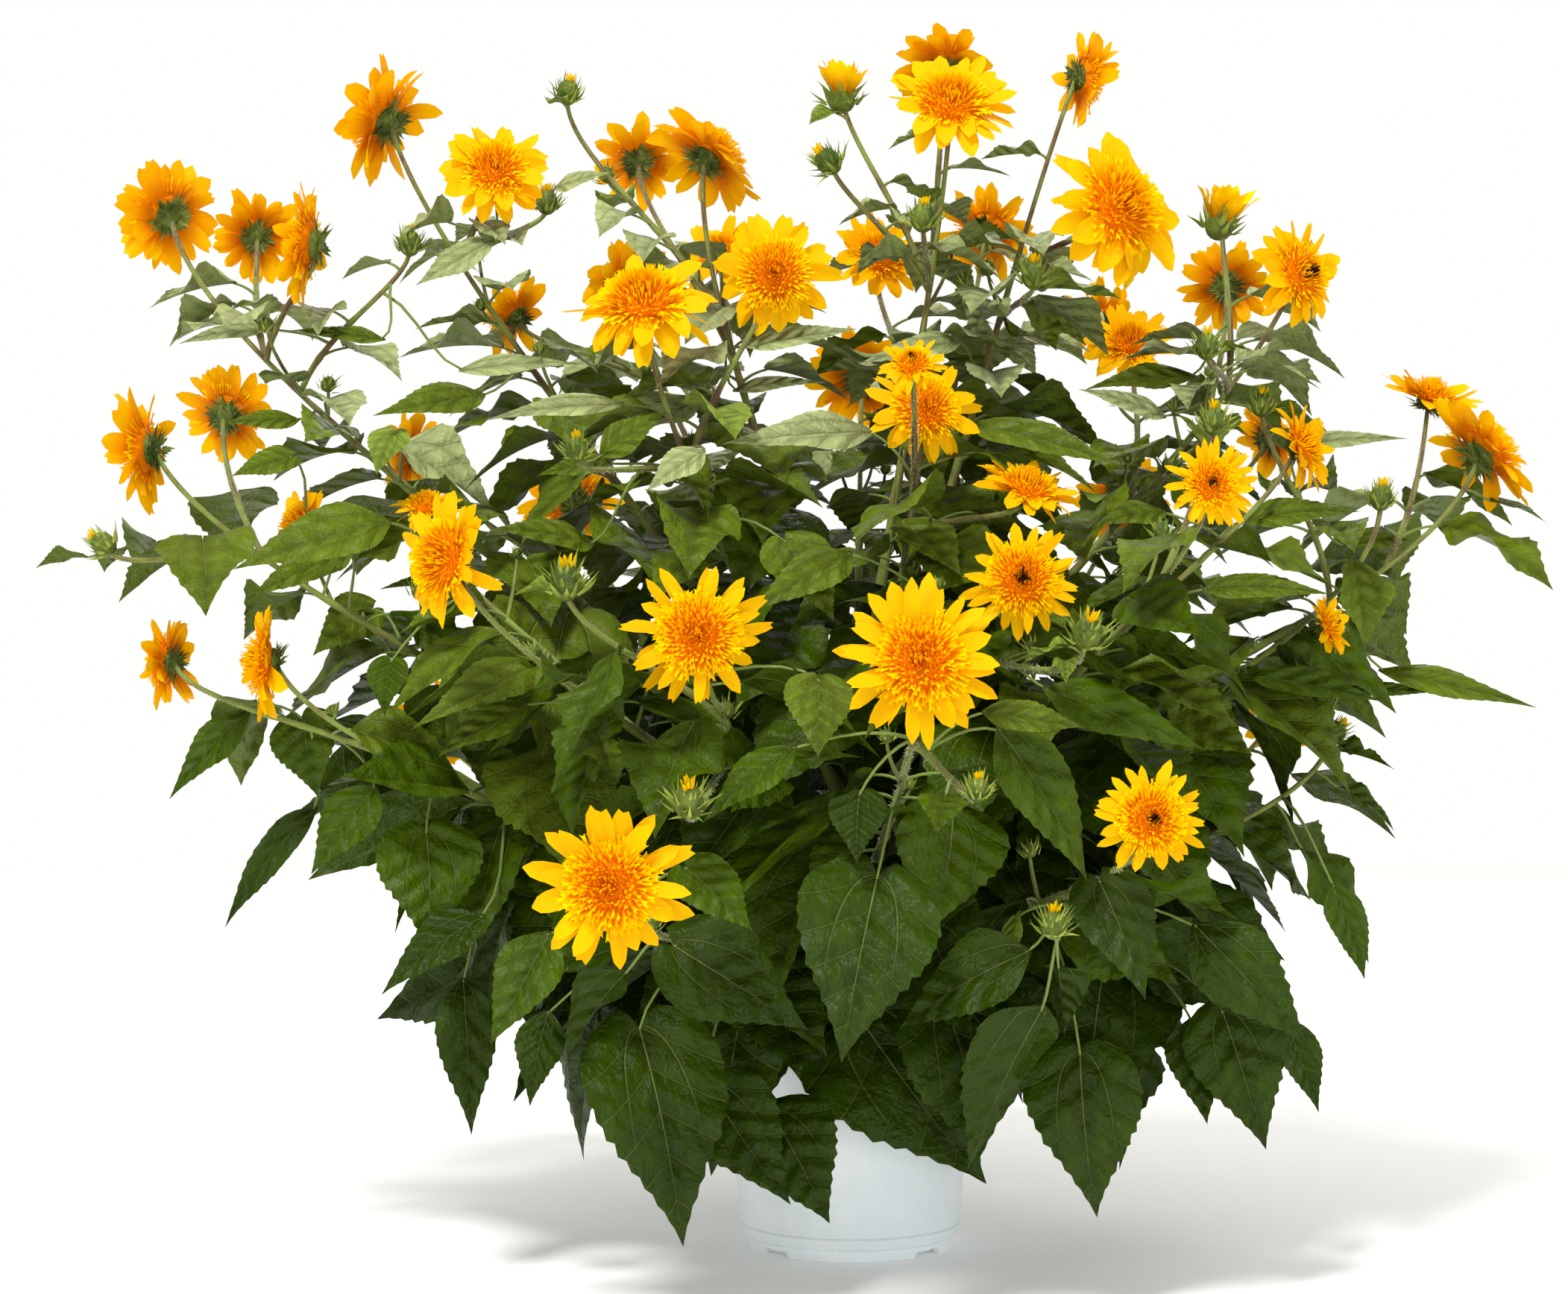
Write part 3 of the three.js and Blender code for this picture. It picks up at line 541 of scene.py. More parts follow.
def laid(shape, stalks, spans, radius_at, ribs=0, swell=0.0):
    """A tube bent along each stalk between two shares of it, as a batch for a heap. Its ribs run
    lengthwise, and it swells where leaves stand."""
    turn = np.arctan2(shape.points[:, 1], shape.points[:, 0])
    placed, maps = [], []
    for i, (stalk, (start, stop)) in enumerate(zip(stalks, spans)):
        t = lerp(start, stop, shape.points[:, 2])
        way = stalk.way(t)
        level = np.cross(UP, stalk.ends[3] - stalk.ends[0])
        level = unit(level) if np.linalg.norm(level) > 1e-3 else at(1, 0, 0)
        across = unit(level - way * (way @ level)[:, None])
        through = np.cross(way, across)
        relief = 1 + RIB_DEPTH * np.cos(ribs * turn + 9 * chance(400, i)) * (ribs > 0)
        for node in stalk.nodes:
            relief = relief + swell * np.exp(-(((t - node) * stalk.length / SWELL_LENGTH) ** 2))
        radius = (radius_at(t) * relief)[:, None]
        placed.append(stalk.at(t) + (across * shape.points[:, :1] + through * shape.points[:, 1:2]) * radius)
        maps.append(shape.flat * [1, stalk.length * (stop - start) * 10])
    return shape, np.array(placed), np.array(maps)


def stem_green(name, green, flush, flushed):
    """Ribbed green skin, streaked and speckled with a purple-brown flush."""
    paint, tree, shader = finish(name, Roughness=0.6, Specular_IOR_Level=0.25, Sheen_Weight=0.15)
    place = add(tree, "UVMap", {"uv_map": "flat"}).outputs[0]
    drawn = add(tree, "Mapping", Vector=place, Scale=(14.0, 3.0, 1.0))
    streak = add(tree, "TexNoise", Vector=drawn.outputs[0], Scale=1.0, Detail=4.0, Roughness=0.7).outputs[0]
    marks = mottled(tree, 25.0, 900.0)
    blotch = times(tree, between(tree, streak, 0.37, 0.58), plus(tree, 0.35, marks["Patch"]))
    high = add(tree, "SeparateXYZ", Vector=add(tree, "TexCoord").outputs["Object"]).outputs[2]
    blotch = times(tree, blotch, between(tree, high, 0.45, 0.75, (0.6, 1.3)))
    skin = tint(tree, times(tree, marks["Speck"], 0.3), green, "#A6B458")
    skin = tint(tree, times(tree, blotch, flushed), skin, flush)
    painted(tree, shader, skin)
    raised(tree, shader, streak, 0.5, 0.0008)
    return paint


stem = Stalk(
    at(0, 0, PEAT_TOP + 0.0003),
    at(0, 0, lerp(PEAT_TOP, STEM_TOP, 0.35)),
    at(STEM_LEAN[0] / 2, STEM_LEAN[1] / 2, lerp(PEAT_TOP, STEM_TOP, 0.7)),
    at(*STEM_LEAN, STEM_TOP),
)


def stem_radius(t):
    flare = np.maximum(0, 1 - t * (STEM_TOP - PEAT_TOP) / FLARE_HEIGHT)
    return lerp(STEM_RADIUS, STEM_TIP_RADIUS, t) + (STEM_FOOT_RADIUS - STEM_RADIUS) * flare**1.5


def stem_point(height):
    return stem.at((height - PEAT_TOP) / (STEM_TOP - PEAT_TOP))


stem_batch = laid(tube(*STEM_TUBE), [stem], [(0, 1)], stem_radius, STEM_RIBS)
stem_skin = stem_green("old_stem", "#6B7138", "#6A4A2C", 0.7)
heap("central_stem", [stem_batch], [stem_skin], "stems", "main_stem")

# ---------------------------------------------------------------- the boughs
# Long shoots fan out from the main stem in a spiral. Each one's lower third is a bare, ribbed
# bough, and its flowers' stalks grow on from there.

BOUGH_TUBE = 15, 26
BOUGH_RIBS = 5
BOUGH_SHARE = 0.3  # of a shoot's length, before its leaves begin
BOUGH_RADIUS = 0.0050  # where it leaves the main stem
STALK_RADIUS = 0.0021  # under a flower
SIDE_RADII = 0.0027, 0.0019
STRAIGHT_AT_FOOT = 0.38  # share of a stalk that keeps to the way it starts
STRAIGHT_AT_TIP = 0.2  # and to the way it comes up under its flower
UPRIGHT_AT_TIP = 0.7  # how far that way is drawn to the vertical
LEAST_CLIMB = 0.3  # of a leader, for each metre outward
FORK_SPREAD = 1.25  # how much lower a side stalk forks, for each share that two tips lie apart
FORK_SHARES = 0.08, 0.6
LOWEST_FORK = 0.06  # of a leader with no bough
FORK_FOLLOW = 0.35  # how much a side stalk starts along its leader
FLOWER_NECK = 0.08  # how far behind its middle a stalk ends, of a flower's radius
BUD_NECK = 0.5
BUD_ACROSS = 0.035  # a bud isn't wider
HALF_OPEN_ACROSS = 0.045  # nor is a flower that is half open


class Head:
    """A flower or bud: its place, its width, the way it faces, and whether its middle is dark."""

    def __init__(self, place, across, azimuth, rise, neck, dark=False):
        self.place = at(*place)
        self.across = across
        self.facing = heading(azimuth, rise)
        self.neck = self.place - self.facing * neck * across / 2
        self.dark = dark


def flower(x, y, z, across, azimuth, rise, dark=False):
    return Head((x, y, z), across, azimuth, rise, FLOWER_NECK, dark)


def bud(x, y, z, across=0.024, azimuth=0, rise=75):
    return Head((x, y, z), across, azimuth, rise, BUD_NECK)


class Shoot:
    def __init__(self, name, foot, tips, leaves=(), bough=True):
        self.name, self.foot, self.tips, self.leaves, self.bough = name, foot, tips, leaves, bough


# Each shoot: its height on the main stem, its leader's flower and then the side ones, and the
# tips of the leaves that reach furthest. A shoot with no bough is leafy from its foot.
SHOOTS = [
    Shoot("left_low", 0.240,
        tips=[flower(-0.461, -0.150, 0.487, 0.098, -80, 5), flower(-0.563, -0.040, 0.487, 0.080, -110, 5)],
        leaves=[at(-0.330, -0.130, 0.160)],
    ),
    Shoot("left", 0.282,
        tips=[
            flower(-0.574, -0.070, 0.661, 0.105, -100, 0),
            bud(-0.615, -0.060, 0.585, 0.024, -90, 40),
            flower(-0.535, 0.060, 0.699, 0.092, 160, 20),
            flower(-0.455, -0.030, 0.597, 0.080, -60, 20),
        ],
        leaves=[at(-0.675, -0.040, 0.565)],
    ),
    Shoot("left_high", 0.322,
        tips=[
            flower(-0.581, 0.040, 0.868, 0.098, -140, 22),
            flower(-0.522, 0.130, 0.863, 0.084, -160, 20),
            flower(-0.445, -0.040, 0.833, 0.104, -98, 8),
            bud(-0.370, 0.000, 0.841),
        ],
    ),
    Shoot("left_top", 0.366,
        tips=[
            flower(-0.398, 0.060, 0.952, 0.114, -115, 28),
            flower(-0.298, 0.000, 0.899, 0.098, 5, 28),
            bud(-0.262, 0.090, 0.889),
        ],
    ),
    Shoot("top_left", 0.414,
        tips=[
            flower(-0.120, 0.020, 0.915, 0.108, 125, 52),
            bud(-0.241, 0.060, 0.979, 0.024, 30, 70),
            flower(-0.186, 0.180, 0.938, 0.088, 178, 25),
            flower(-0.112, 0.165, 0.850, 0.084, -30, 45),
        ],
    ),
    Shoot("front_left_top", 0.346,
        tips=[
            flower(-0.166, -0.140, 0.771, 0.122, -5, 48),
            flower(-0.063, -0.060, 0.805, 0.104, 0, 10),
            bud(-0.216, -0.200, 0.654, 0.022),
        ],
    ),
    Shoot("top", STEM_TOP,
        bough=False,
        tips=[
            flower(0.084, -0.020, 0.951, 0.112, 5, 38),
            flower(0.084, 0.084, 1.002, 0.092, 170, 50),
            flower(-0.006, 0.040, 0.977, 0.038, 0, 85),
            bud(-0.020, -0.050, 0.901, 0.026, -60, 40),
            flower(0.030, 0.185, 0.850, 0.090, 20, 30),
            bud(0.058, -0.080, 0.851, 0.026),
        ],
    ),
    Shoot("top_right", 0.388,
        tips=[
            flower(0.200, 0.060, 0.990, 0.088, 110, -4),
            flower(0.216, -0.080, 0.855, 0.134, 35, 14),
            bud(0.150, -0.060, 0.807, 0.026),
        ],
    ),
    Shoot("right_top", 0.356,
        tips=[
            flower(0.370, -0.040, 0.807, 0.092, 35, 8, dark=True),
            flower(0.335, 0.120, 0.818, 0.084, 170, 20),
            flower(0.318, 0.030, 0.868, 0.040, 40, 70),
            flower(0.255, 0.160, 0.769, 0.088, -10, 40),
            bud(0.285, -0.110, 0.743),
        ],
    ),
    Shoot("right_high", 0.312,
        tips=[
            flower(0.521, -0.040, 0.659, 0.114, 110, 42),
            flower(0.502, 0.066, 0.711, 0.092, 60, 68),
            bud(0.337, -0.060, 0.700, 0.022),
        ],
        leaves=[at(0.590, 0.000, 0.600)],
    ),
    Shoot("right", 0.262,
        tips=[bud(0.435, -0.060, 0.624), flower(0.382, -0.100, 0.516, 0.056, 60, 20, dark=True)],
        leaves=[at(0.520, -0.070, 0.560)],
    ),
    Shoot("front_right", 0.290,
        tips=[
            flower(0.264, -0.280, 0.621, 0.070, 0, 8, dark=True),
            flower(0.362, -0.090, 0.661, 0.078, 60, 20),
            bud(0.278, -0.200, 0.676),
        ],
    ),
    Shoot("front_right_high", 0.330,
        tips=[
            flower(0.057, -0.140, 0.688, 0.092, 10, 20),
            flower(0.044, -0.212, 0.716, 0.056, -10, 42, dark=True),
            flower(0.135, -0.170, 0.620, 0.088, 40, 60),
            flower(0.124, -0.262, 0.549, 0.096, 0, 14, dark=True),
            bud(0.168, -0.318, 0.511, 0.028, 20, 60),
        ],
    ),
    Shoot("front", 0.251,
        tips=[flower(0.042, -0.390, 0.490, 0.122, -5, 14), bud(0.082, -0.395, 0.400, 0.020)],
    ),
    Shoot("front_left", 0.272,
        tips=[
            flower(-0.118, -0.335, 0.508, 0.108, 0, 8),
            bud(-0.215, -0.318, 0.549, 0.030),
            bud(-0.123, -0.398, 0.392, 0.028, 0, 60),
        ],
    ),
    Shoot("front_left_high", 0.304,
        tips=[flower(-0.304, -0.300, 0.564, 0.104, -45, 8), flower(-0.345, -0.090, 0.612, 0.060, 0, 60)],
    ),
    Shoot("front_left_low", 0.228,
        bough=False,
        tips=[flower(-0.178, -0.400, 0.331, 0.120, -5, 5)],
        leaves=[at(-0.128, -0.250, 0.053), at(-0.250, -0.300, 0.190)],
    ),
    Shoot("front_right_low", 0.234,
        bough=False,
        tips=[flower(0.211, -0.345, 0.374, 0.088, 5, 10, dark=True), bud(0.140, -0.345, 0.300, 0.024)],
        leaves=[at(0.170, -0.250, 0.073), at(0.040, -0.300, 0.180)],
    ),
    Shoot("right_low", 0.226,
        bough=False,
        tips=[bud(0.400, -0.050, 0.430, 0.022, 80, 50)],
        leaves=[at(0.447, -0.060, 0.350), at(0.422, -0.070, 0.240), at(0.326, -0.120, 0.110)],
    ),
    Shoot("back_left_top", 0.384,
        tips=[
            flower(-0.200, 0.290, 0.840, 0.096, -150, 25),
            flower(-0.300, 0.210, 0.800, 0.084, -120, 35, dark=True),
        ],
        leaves=[at(-0.150, 0.390, 0.740)],
    ),
    Shoot("back_left", 0.300,
        tips=[flower(-0.260, 0.400, 0.640, 0.108, -155, 12), flower(-0.400, 0.260, 0.680, 0.088, -120, 20)],
        leaves=[at(-0.400, 0.370, 0.520)],
    ),
    Shoot("back", 0.338,
        tips=[flower(0.020, 0.360, 0.760, 0.112, 175, 25), flower(0.110, 0.300, 0.700, 0.084, 150, 40)],
        leaves=[at(-0.080, 0.440, 0.640)],
    ),
    Shoot("back_low", 0.230,
        bough=False,
        tips=[flower(0.030, 0.430, 0.450, 0.112, 180, 8)],
        leaves=[at(-0.120, 0.450, 0.320), at(0.160, 0.440, 0.290)],
    ),
    Shoot("back_right", 0.294,
        tips=[
            flower(0.270, 0.370, 0.640, 0.104, 145, 12),
            flower(0.390, 0.230, 0.690, 0.084, 110, 25, dark=True),
        ],
        leaves=[at(0.380, 0.350, 0.520)],
    ),
    Shoot("back_right_top", 0.422,
        tips=[flower(0.130, 0.230, 0.880, 0.096, 160, 30), flower(0.240, 0.260, 0.800, 0.088, 130, 20)],
    ),
    Shoot("back_right_low", 0.244,
        tips=[flower(0.400, 0.230, 0.440, 0.092, 118, 8)],
        leaves=[at(0.490, 0.130, 0.330), at(0.310, 0.360, 0.280)],
    ),
    Shoot("back_left_low", 0.254,
        tips=[flower(-0.380, 0.260, 0.430, 0.100, -125, 8)],
        leaves=[at(-0.510, 0.140, 0.320), at(-0.310, 0.370, 0.280)],
    ),
]


def stalk_to(start, outward, tip):
    """The route of a stalk that leaves start along outward and comes up under a flower."""
    length = np.linalg.norm(tip.neck - start)
    arrive = lerp(tip.facing, UP, UPRIGHT_AT_TIP)
    return Stalk(
        start,
        start + outward * length * STRAIGHT_AT_FOOT,
        tip.neck - arrive * length * STRAIGHT_AT_TIP,
        tip.neck,
    )


for shoot in SHOOTS:
    axis = stem_point(shoot.foot)
    away = (shoot.tips[0].neck - axis) * [1, 1, 0]
    far = np.linalg.norm(away)
    start = axis + away * (STEM_TIP_RADIUS / far if shoot.foot < STEM_TOP else 0)
    climb = max(shoot.tips[0].neck[2] - start[2], far * LEAST_CLIMB)
    shoot.leader = stalk_to(start, unit(away + UP * climb), shoot.tips[0])
    shoot.sides = []
    lowest = BOUGH_SHARE if shoot.bough else LOWEST_FORK
    for tip in shoot.tips[1:]:
        apart = np.linalg.norm(tip.neck - shoot.leader.ends[3])
        share = 1 - FORK_SPREAD * apart / (shoot.leader.length * (1 - lowest))
        fork = lerp(lowest, 1, min(max(share, FORK_SHARES[0]), FORK_SHARES[1]))
        foot = shoot.leader.at(fork)
        outward = unit(unit(tip.neck - foot) + shoot.leader.way(fork) * FORK_FOLLOW)
        shoot.sides.append(stalk_to(foot, outward, tip))


def bough_radius(t):
    return lerp(BOUGH_RADIUS, STALK_RADIUS, np.minimum(1, t * 1.4))


def side_radius(t):
    return lerp(SIDE_RADII[0], SIDE_RADII[1], t)


boughed = [shoot for shoot in SHOOTS if shoot.bough]
bough_spans = [(0, BOUGH_SHARE)] * len(boughed)
bough_leaders = [s.leader for s in boughed]
bough_batch = laid(tube(*BOUGH_TUBE), bough_leaders, bough_spans, bough_radius, BOUGH_RIBS)
bough_skin = stem_green("bough_skin", "#6C7E2E", "#654A2C", 0.5)
heap("boughs", [bough_batch], [bough_skin], "stems", *[f"shoot_{s.name}" for s in boughed])

# ---------------------------------------------------------------- where the leaves stand
# Leaves stand in pairs that turn a quarter at each node, and singly near a flower. Low ones are
# broad and hang on long stalks, and high ones are slimmer, lie level and are carried closer.

NODE_SPACING = 0.029
BLADE_HEIGHTS = 0.25, 0.45, 0.62, 0.75, 0.90
BLADE_LENGTHS = 0.150, 0.132, 0.112, 0.092, 0.060  # of a blade rooted at each of these heights
YOUNGER = 1.06, 0.86  # of that, low on a shoot and under its flower
LEAF_WIDTHS = 0.84, 0.60  # of the blade's length
LEAF_STALKS = 0.42, 0.252
LEAF_LIFTS = 12, 34  # degrees that the stalk rises
LEAF_PITCHES = -14, 4  # and that the blade does where it starts
LEAF_DROOPS = 42, 26  # degrees that the blade bends down along its length
HANGS = 20, 40, 22  # degrees taken off these for a leaf that hangs
HANG_HEIGHTS = 0.66, 0.36  # leaves hang not at all above the first, and fully below the second
LENGTH_SPREAD = 0.34
SWAY = 44  # degrees that pitches vary
LEVEL_SHARE = 0.6  # of the sway and roll, for leaves that lie level
VEER = 110  # degrees that blades point aside from their stalks, in all
ROLL = 1.0  # radians that blades tip to either side, in all
NODE_TURN = 50  # degrees that pairs are out of their quarter turns, in all
LEAN_OUT = 0.55
SINGLE_FROM = 0.75
SPIRAL = 137.5
FAR_BLADE = 0.7  # of the way from a far leaf's root to its tip
FAR_WIDTH = 0.52  # of its length
FAR_DROOP = 30
SIDE_LEAVES = 0.08, 0.52
SIDE_AGE = 0.4
LEADER_BARE = 0.68  # of a leader, from where it is bare
TINY_LEAF = 0.045  # of the small leaves just under a flower
TINY_SHARE = 0.4  # of their places
TINY_AT = 0.80, 0.92  # those places on each stalk
TINY_STALK = 0.12  # no shorter stalk has them
BOUGH_LEAVES_FROM = 0.08  # of a leader, where the few leaves on its bough start
LOW_LEAVES_FROM = 0.16  # and where they do on one with no bough
SKIRTS = 7
SKIRT_REACH = 0.205
SKIRT_LEAF = 0.168
SKIRT_ROOTS = 0.203, 0.009  # the lowest height on the main stem, and the step to the next
SKIRT_HEIGHTS = 0.265, 0.080  # about where a skirt's stalk ends, and its lowest leaf
SKIRT_HANG = 1.35
FRONT_DROOP = 24
FRONT_STALK = 0.055  # about how long the stalk of a leaf at the front is
BROAD_FRONT = 0.66  # of its length; a broader one there is heart-shaped
BENT = 1.04  # how much longer a bent blade is than the straight line to its tip
# The leaves that stand out at the front: where each blade starts, where its tip is, its width.
FRONT_LEAVES = [
    ((0.013, -0.330, 0.332), (-0.019, -0.385, 0.210), 0.108),
    ((-0.165, -0.250, 0.212), (-0.126, -0.300, 0.063), 0.114),
    ((0.170, -0.240, 0.191), (0.168, -0.280, 0.078), 0.092),
    ((-0.064, -0.190, 0.137), (-0.019, -0.230, 0.064), 0.082),
    ((-0.113, -0.200, 0.160), (-0.061, -0.250, 0.076), 0.078),
    ((0.284, -0.200, 0.218), (0.313, -0.230, 0.120), 0.078),
    ((0.260, -0.220, 0.286), (0.335, -0.240, 0.196), 0.070),
    ((0.178, -0.300, 0.327), (0.208, -0.330, 0.245), 0.066),
    ((0.138, -0.340, 0.295), (0.163, -0.350, 0.249), 0.043),
    ((-0.229, -0.300, 0.288), (-0.265, -0.320, 0.209), 0.052),
    ((-0.126, -0.370, 0.342), (-0.082, -0.390, 0.297), 0.053),
    ((-0.136, -0.330, 0.282), (-0.045, -0.330, 0.216), 0.082),
    ((0.101, -0.340, 0.440), (0.167, -0.340, 0.337), 0.060),
    ((0.142, -0.260, 0.468), (0.254, -0.270, 0.415), 0.050),
    ((-0.029, -0.330, 0.476), (-0.035, -0.360, 0.422), 0.051),
    ((0.088, -0.360, 0.453), (0.158, -0.360, 0.437), 0.030),
    ((-0.047, -0.350, 0.427), (-0.114, -0.370, 0.377), 0.036),
    ((0.000, -0.330, 0.393), (-0.005, -0.350, 0.345), 0.043),
    ((0.071, -0.280, 0.374), (0.063, -0.300, 0.292), 0.087),
    ((0.124, -0.320, 0.276), (0.030, -0.300, 0.227), 0.066),
    ((-0.055, -0.200, 0.582), (-0.019, -0.230, 0.521), 0.060),
    ((-0.337, -0.160, 0.355), (-0.327, -0.180, 0.268), 0.085),
    ((-0.385, -0.100, 0.387), (-0.432, -0.120, 0.320), 0.050),
    ((-0.448, -0.080, 0.443), (-0.431, -0.100, 0.381), 0.058),
    ((-0.311, -0.130, 0.234), (-0.299, -0.160, 0.120), 0.050),
    ((-0.239, -0.180, 0.215), (-0.257, -0.200, 0.148), 0.040),
    ((0.348, -0.110, 0.200), (0.370, -0.130, 0.131), 0.038),
    ((0.386, -0.110, 0.308), (0.409, -0.120, 0.236), 0.038),
    ((0.263, -0.180, 0.209), (0.266, -0.200, 0.133), 0.049),
    ((-0.408, -0.080, 0.577), (-0.478, -0.140, 0.539), 0.038),
    ((-0.372, -0.120, 0.600), (-0.478, -0.180, 0.558), 0.058),
    ((-0.454, -0.060, 0.686), (-0.504, -0.100, 0.676), 0.022),
    ((-0.369, -0.100, 0.674), (-0.384, -0.120, 0.639), 0.036),
    ((-0.302, -0.060, 0.706), (-0.377, -0.120, 0.680), 0.038),
    ((-0.187, -0.080, 0.697), (-0.291, -0.120, 0.681), 0.027),
    ((-0.201, -0.140, 0.651), (-0.150, -0.140, 0.687), 0.033),
    ((-0.118, -0.160, 0.654), (-0.163, -0.180, 0.623), 0.032),
    ((-0.192, -0.140, 0.645), (-0.249, -0.160, 0.637), 0.023),
    ((-0.207, -0.140, 0.581), (-0.280, -0.200, 0.589), 0.038),
    ((0.016, -0.100, 0.673), (-0.099, -0.150, 0.656), 0.039),
    ((-0.004, -0.200, 0.572), (-0.076, -0.270, 0.524), 0.041),
    ((-0.241, -0.200, 0.488), (-0.325, -0.270, 0.435), 0.047),
    ((-0.255, -0.200, 0.455), (-0.315, -0.250, 0.418), 0.036),
    ((-0.367, -0.140, 0.489), (-0.374, -0.160, 0.447), 0.034),
    ((-0.496, -0.050, 0.447), (-0.562, -0.060, 0.382), 0.034),
    ((-0.398, -0.020, 0.532), (-0.447, -0.040, 0.498), 0.049),
    ((-0.327, 0.000, 0.732), (-0.230, 0.000, 0.737), 0.025),
    ((-0.389, -0.020, 0.756), (-0.462, -0.030, 0.758), 0.018),
    ((-0.490, 0.000, 0.767), (-0.562, 0.000, 0.758), 0.020),
    ((-0.084, -0.050, 0.747), (0.002, -0.060, 0.754), 0.025),
    ((-0.097, 0.000, 0.715), (-0.021, -0.020, 0.725), 0.017),
    ((-0.465, -0.050, 0.575), (-0.545, -0.080, 0.559), 0.032),
    ((-0.454, -0.090, 0.654), (-0.496, -0.110, 0.635), 0.034),
    ((0.095, -0.110, 0.678), (0.206, -0.170, 0.640), 0.040),
    ((0.094, 0.000, 0.757), (0.012, -0.030, 0.731), 0.029),
    ((0.289, 0.000, 0.727), (0.195, -0.030, 0.720), 0.028),
    ((0.260, -0.040, 0.690), (0.189, -0.060, 0.709), 0.025),
    ((0.311, -0.060, 0.695), (0.385, -0.080, 0.660), 0.032),
    ((0.367, -0.040, 0.667), (0.458, -0.040, 0.670), 0.018),
    ((0.250, -0.120, 0.607), (0.186, -0.160, 0.597), 0.028),
    ((0.318, -0.080, 0.603), (0.406, -0.100, 0.611), 0.029),
    ((0.274, -0.170, 0.545), (0.366, -0.190, 0.544), 0.027),
    ((0.419, -0.040, 0.582), (0.496, -0.040, 0.596), 0.021),
    ((0.321, -0.100, 0.477), (0.419, -0.120, 0.452), 0.035),
    ((0.409, -0.030, 0.464), (0.489, -0.030, 0.457), 0.015),
    ((0.443, -0.020, 0.480), (0.562, -0.040, 0.444), 0.029),
    ((-0.289, -0.190, 0.290), (-0.367, -0.210, 0.240), 0.048),
    ((-0.438, -0.070, 0.368), (-0.518, -0.060, 0.280), 0.036),
    ((0.058, -0.422, 0.396), (0.050, -0.488, 0.374), 0.036),
    ((-0.300, 0.000, 0.842), (-0.358, -0.010, 0.800), 0.034),
    ((-0.250, 0.030, 0.890), (-0.204, 0.010, 0.898), 0.024),
]


class Leaf:
    """One leaf: its stalk's root, where its blade starts, and how the blade lies. The blade
    starts along level, tipped towards up by pitch degrees, and bends back by droop."""

    def __init__(self, root, base, level, blade, width, pitch, droop, roll, age, seed, up=UP, sure=False):
        self.root, self.base, self.level, self.up, self.sure = root, base, level, up, sure
        self.blade, self.width, self.pitch, self.droop, self.roll = blade, width, pitch, droop, roll
        self.age, self.seed = age, seed


def hang_at(height):
    high, low = HANG_HEIGHTS
    return min(max((high - height) / (high - low), 0), 1)


def leaf_at(root, away, age, seed, blade, hang):
    """A leaf that grows from root in the horizontal direction away, by the plant's rule."""
    level = unit(away * [1, 1, 0])
    lift = math.radians(lerp(*LEAF_LIFTS, age) - hang * HANGS[0])
    out = level * math.cos(lift) + UP * math.sin(lift)
    loose = lerp(LEVEL_SHARE, 1, min(hang, 1))
    pitch = math.radians(lerp(*LEAF_PITCHES, age) - hang * HANGS[1] + (chance(*seed, 3) - 0.5) * SWAY * loose)
    way = level * math.cos(pitch) + UP * math.sin(pitch)
    up = UP * math.cos(pitch) - level * math.sin(pitch)
    veer = math.radians((chance(*seed, 5) - 0.5) * VEER)
    return Leaf(
        root,
        root + out * blade * lerp(*LEAF_STALKS, age),
        way * math.cos(veer) + np.cross(up, way) * math.sin(veer),
        blade,
        blade * lerp(*LEAF_WIDTHS, age),
        0.0,
        lerp(*LEAF_DROOPS, age) - hang * HANGS[2],
        (chance(*seed, 4) - 0.5) * ROLL * loose,
        age,
        seed,
        up,
    )


def leaves_on(stalk, start, stop, seed, young=0.0, length=None, hang=None):
    leaves = []
    count = max(1, round(stalk.length * (stop - start) / NODE_SPACING))
    for i in range(count):
        share = (i + 0.5) / count
        t = lerp(start, stop, share)
        age = min(1, young + share * (1 - young))
        root, along = stalk.at(t), stalk.way(t)
        outward = root * [1, 1, 0]
        if np.linalg.norm(outward) < 0.02:
            outward = heading(chance(seed, 7) * 360)
        outward = unit(outward)
        turn = (i % 2) * 90 + 45 + (chance(seed, i, 1) - 0.5) * NODE_TURN
        abreast = 1 if age > SINGLE_FROM else 2
        stalk.nodes.append(t)
        for j in range(abreast):
            spin = math.radians(turn + j * 180 + (i * SPIRAL if abreast == 1 else 0))
            square = np.cross(along, outward)
            if square @ square < 0.05:
                square = np.cross(along, UP)
            square = unit(square)
            around = square * math.cos(spin) + np.cross(along, square) * math.sin(spin)
            away = unit(around + outward * LEAN_OUT)
            size = 1 + (chance(seed, i, j) - 0.5) * LENGTH_SPREAD
            bent = hang_at(root[2]) if hang is None else hang
            blade = length or float(np.interp(root[2], BLADE_HEIGHTS, BLADE_LENGTHS)) * lerp(*YOUNGER, age)
            leaves.append(leaf_at(root, away, age, (seed, i, j), blade * size, bent))
    return leaves


def leaf_to(tip, stalks, seed):
    """A leaf whose tip lies at a given place, from the nearest root on any of the stalks."""
    places = np.concatenate([stalk.at(np.linspace(0.25, 0.92, 17)) for stalk in stalks])
    root = places[np.argmin(np.linalg.norm(places - tip, axis=1))]
    out = tip - root
    length = np.linalg.norm(out)
    rise = math.degrees(math.asin(out[2] / length))
    blade = length * FAR_BLADE
    base = root + out / length * (length - blade)
    level = unit(out * [1, 1, 0])
    return Leaf(root, base, level, blade, blade * FAR_WIDTH, rise + FAR_DROOP / 2, FAR_DROOP, 0.3, 0.5, seed)


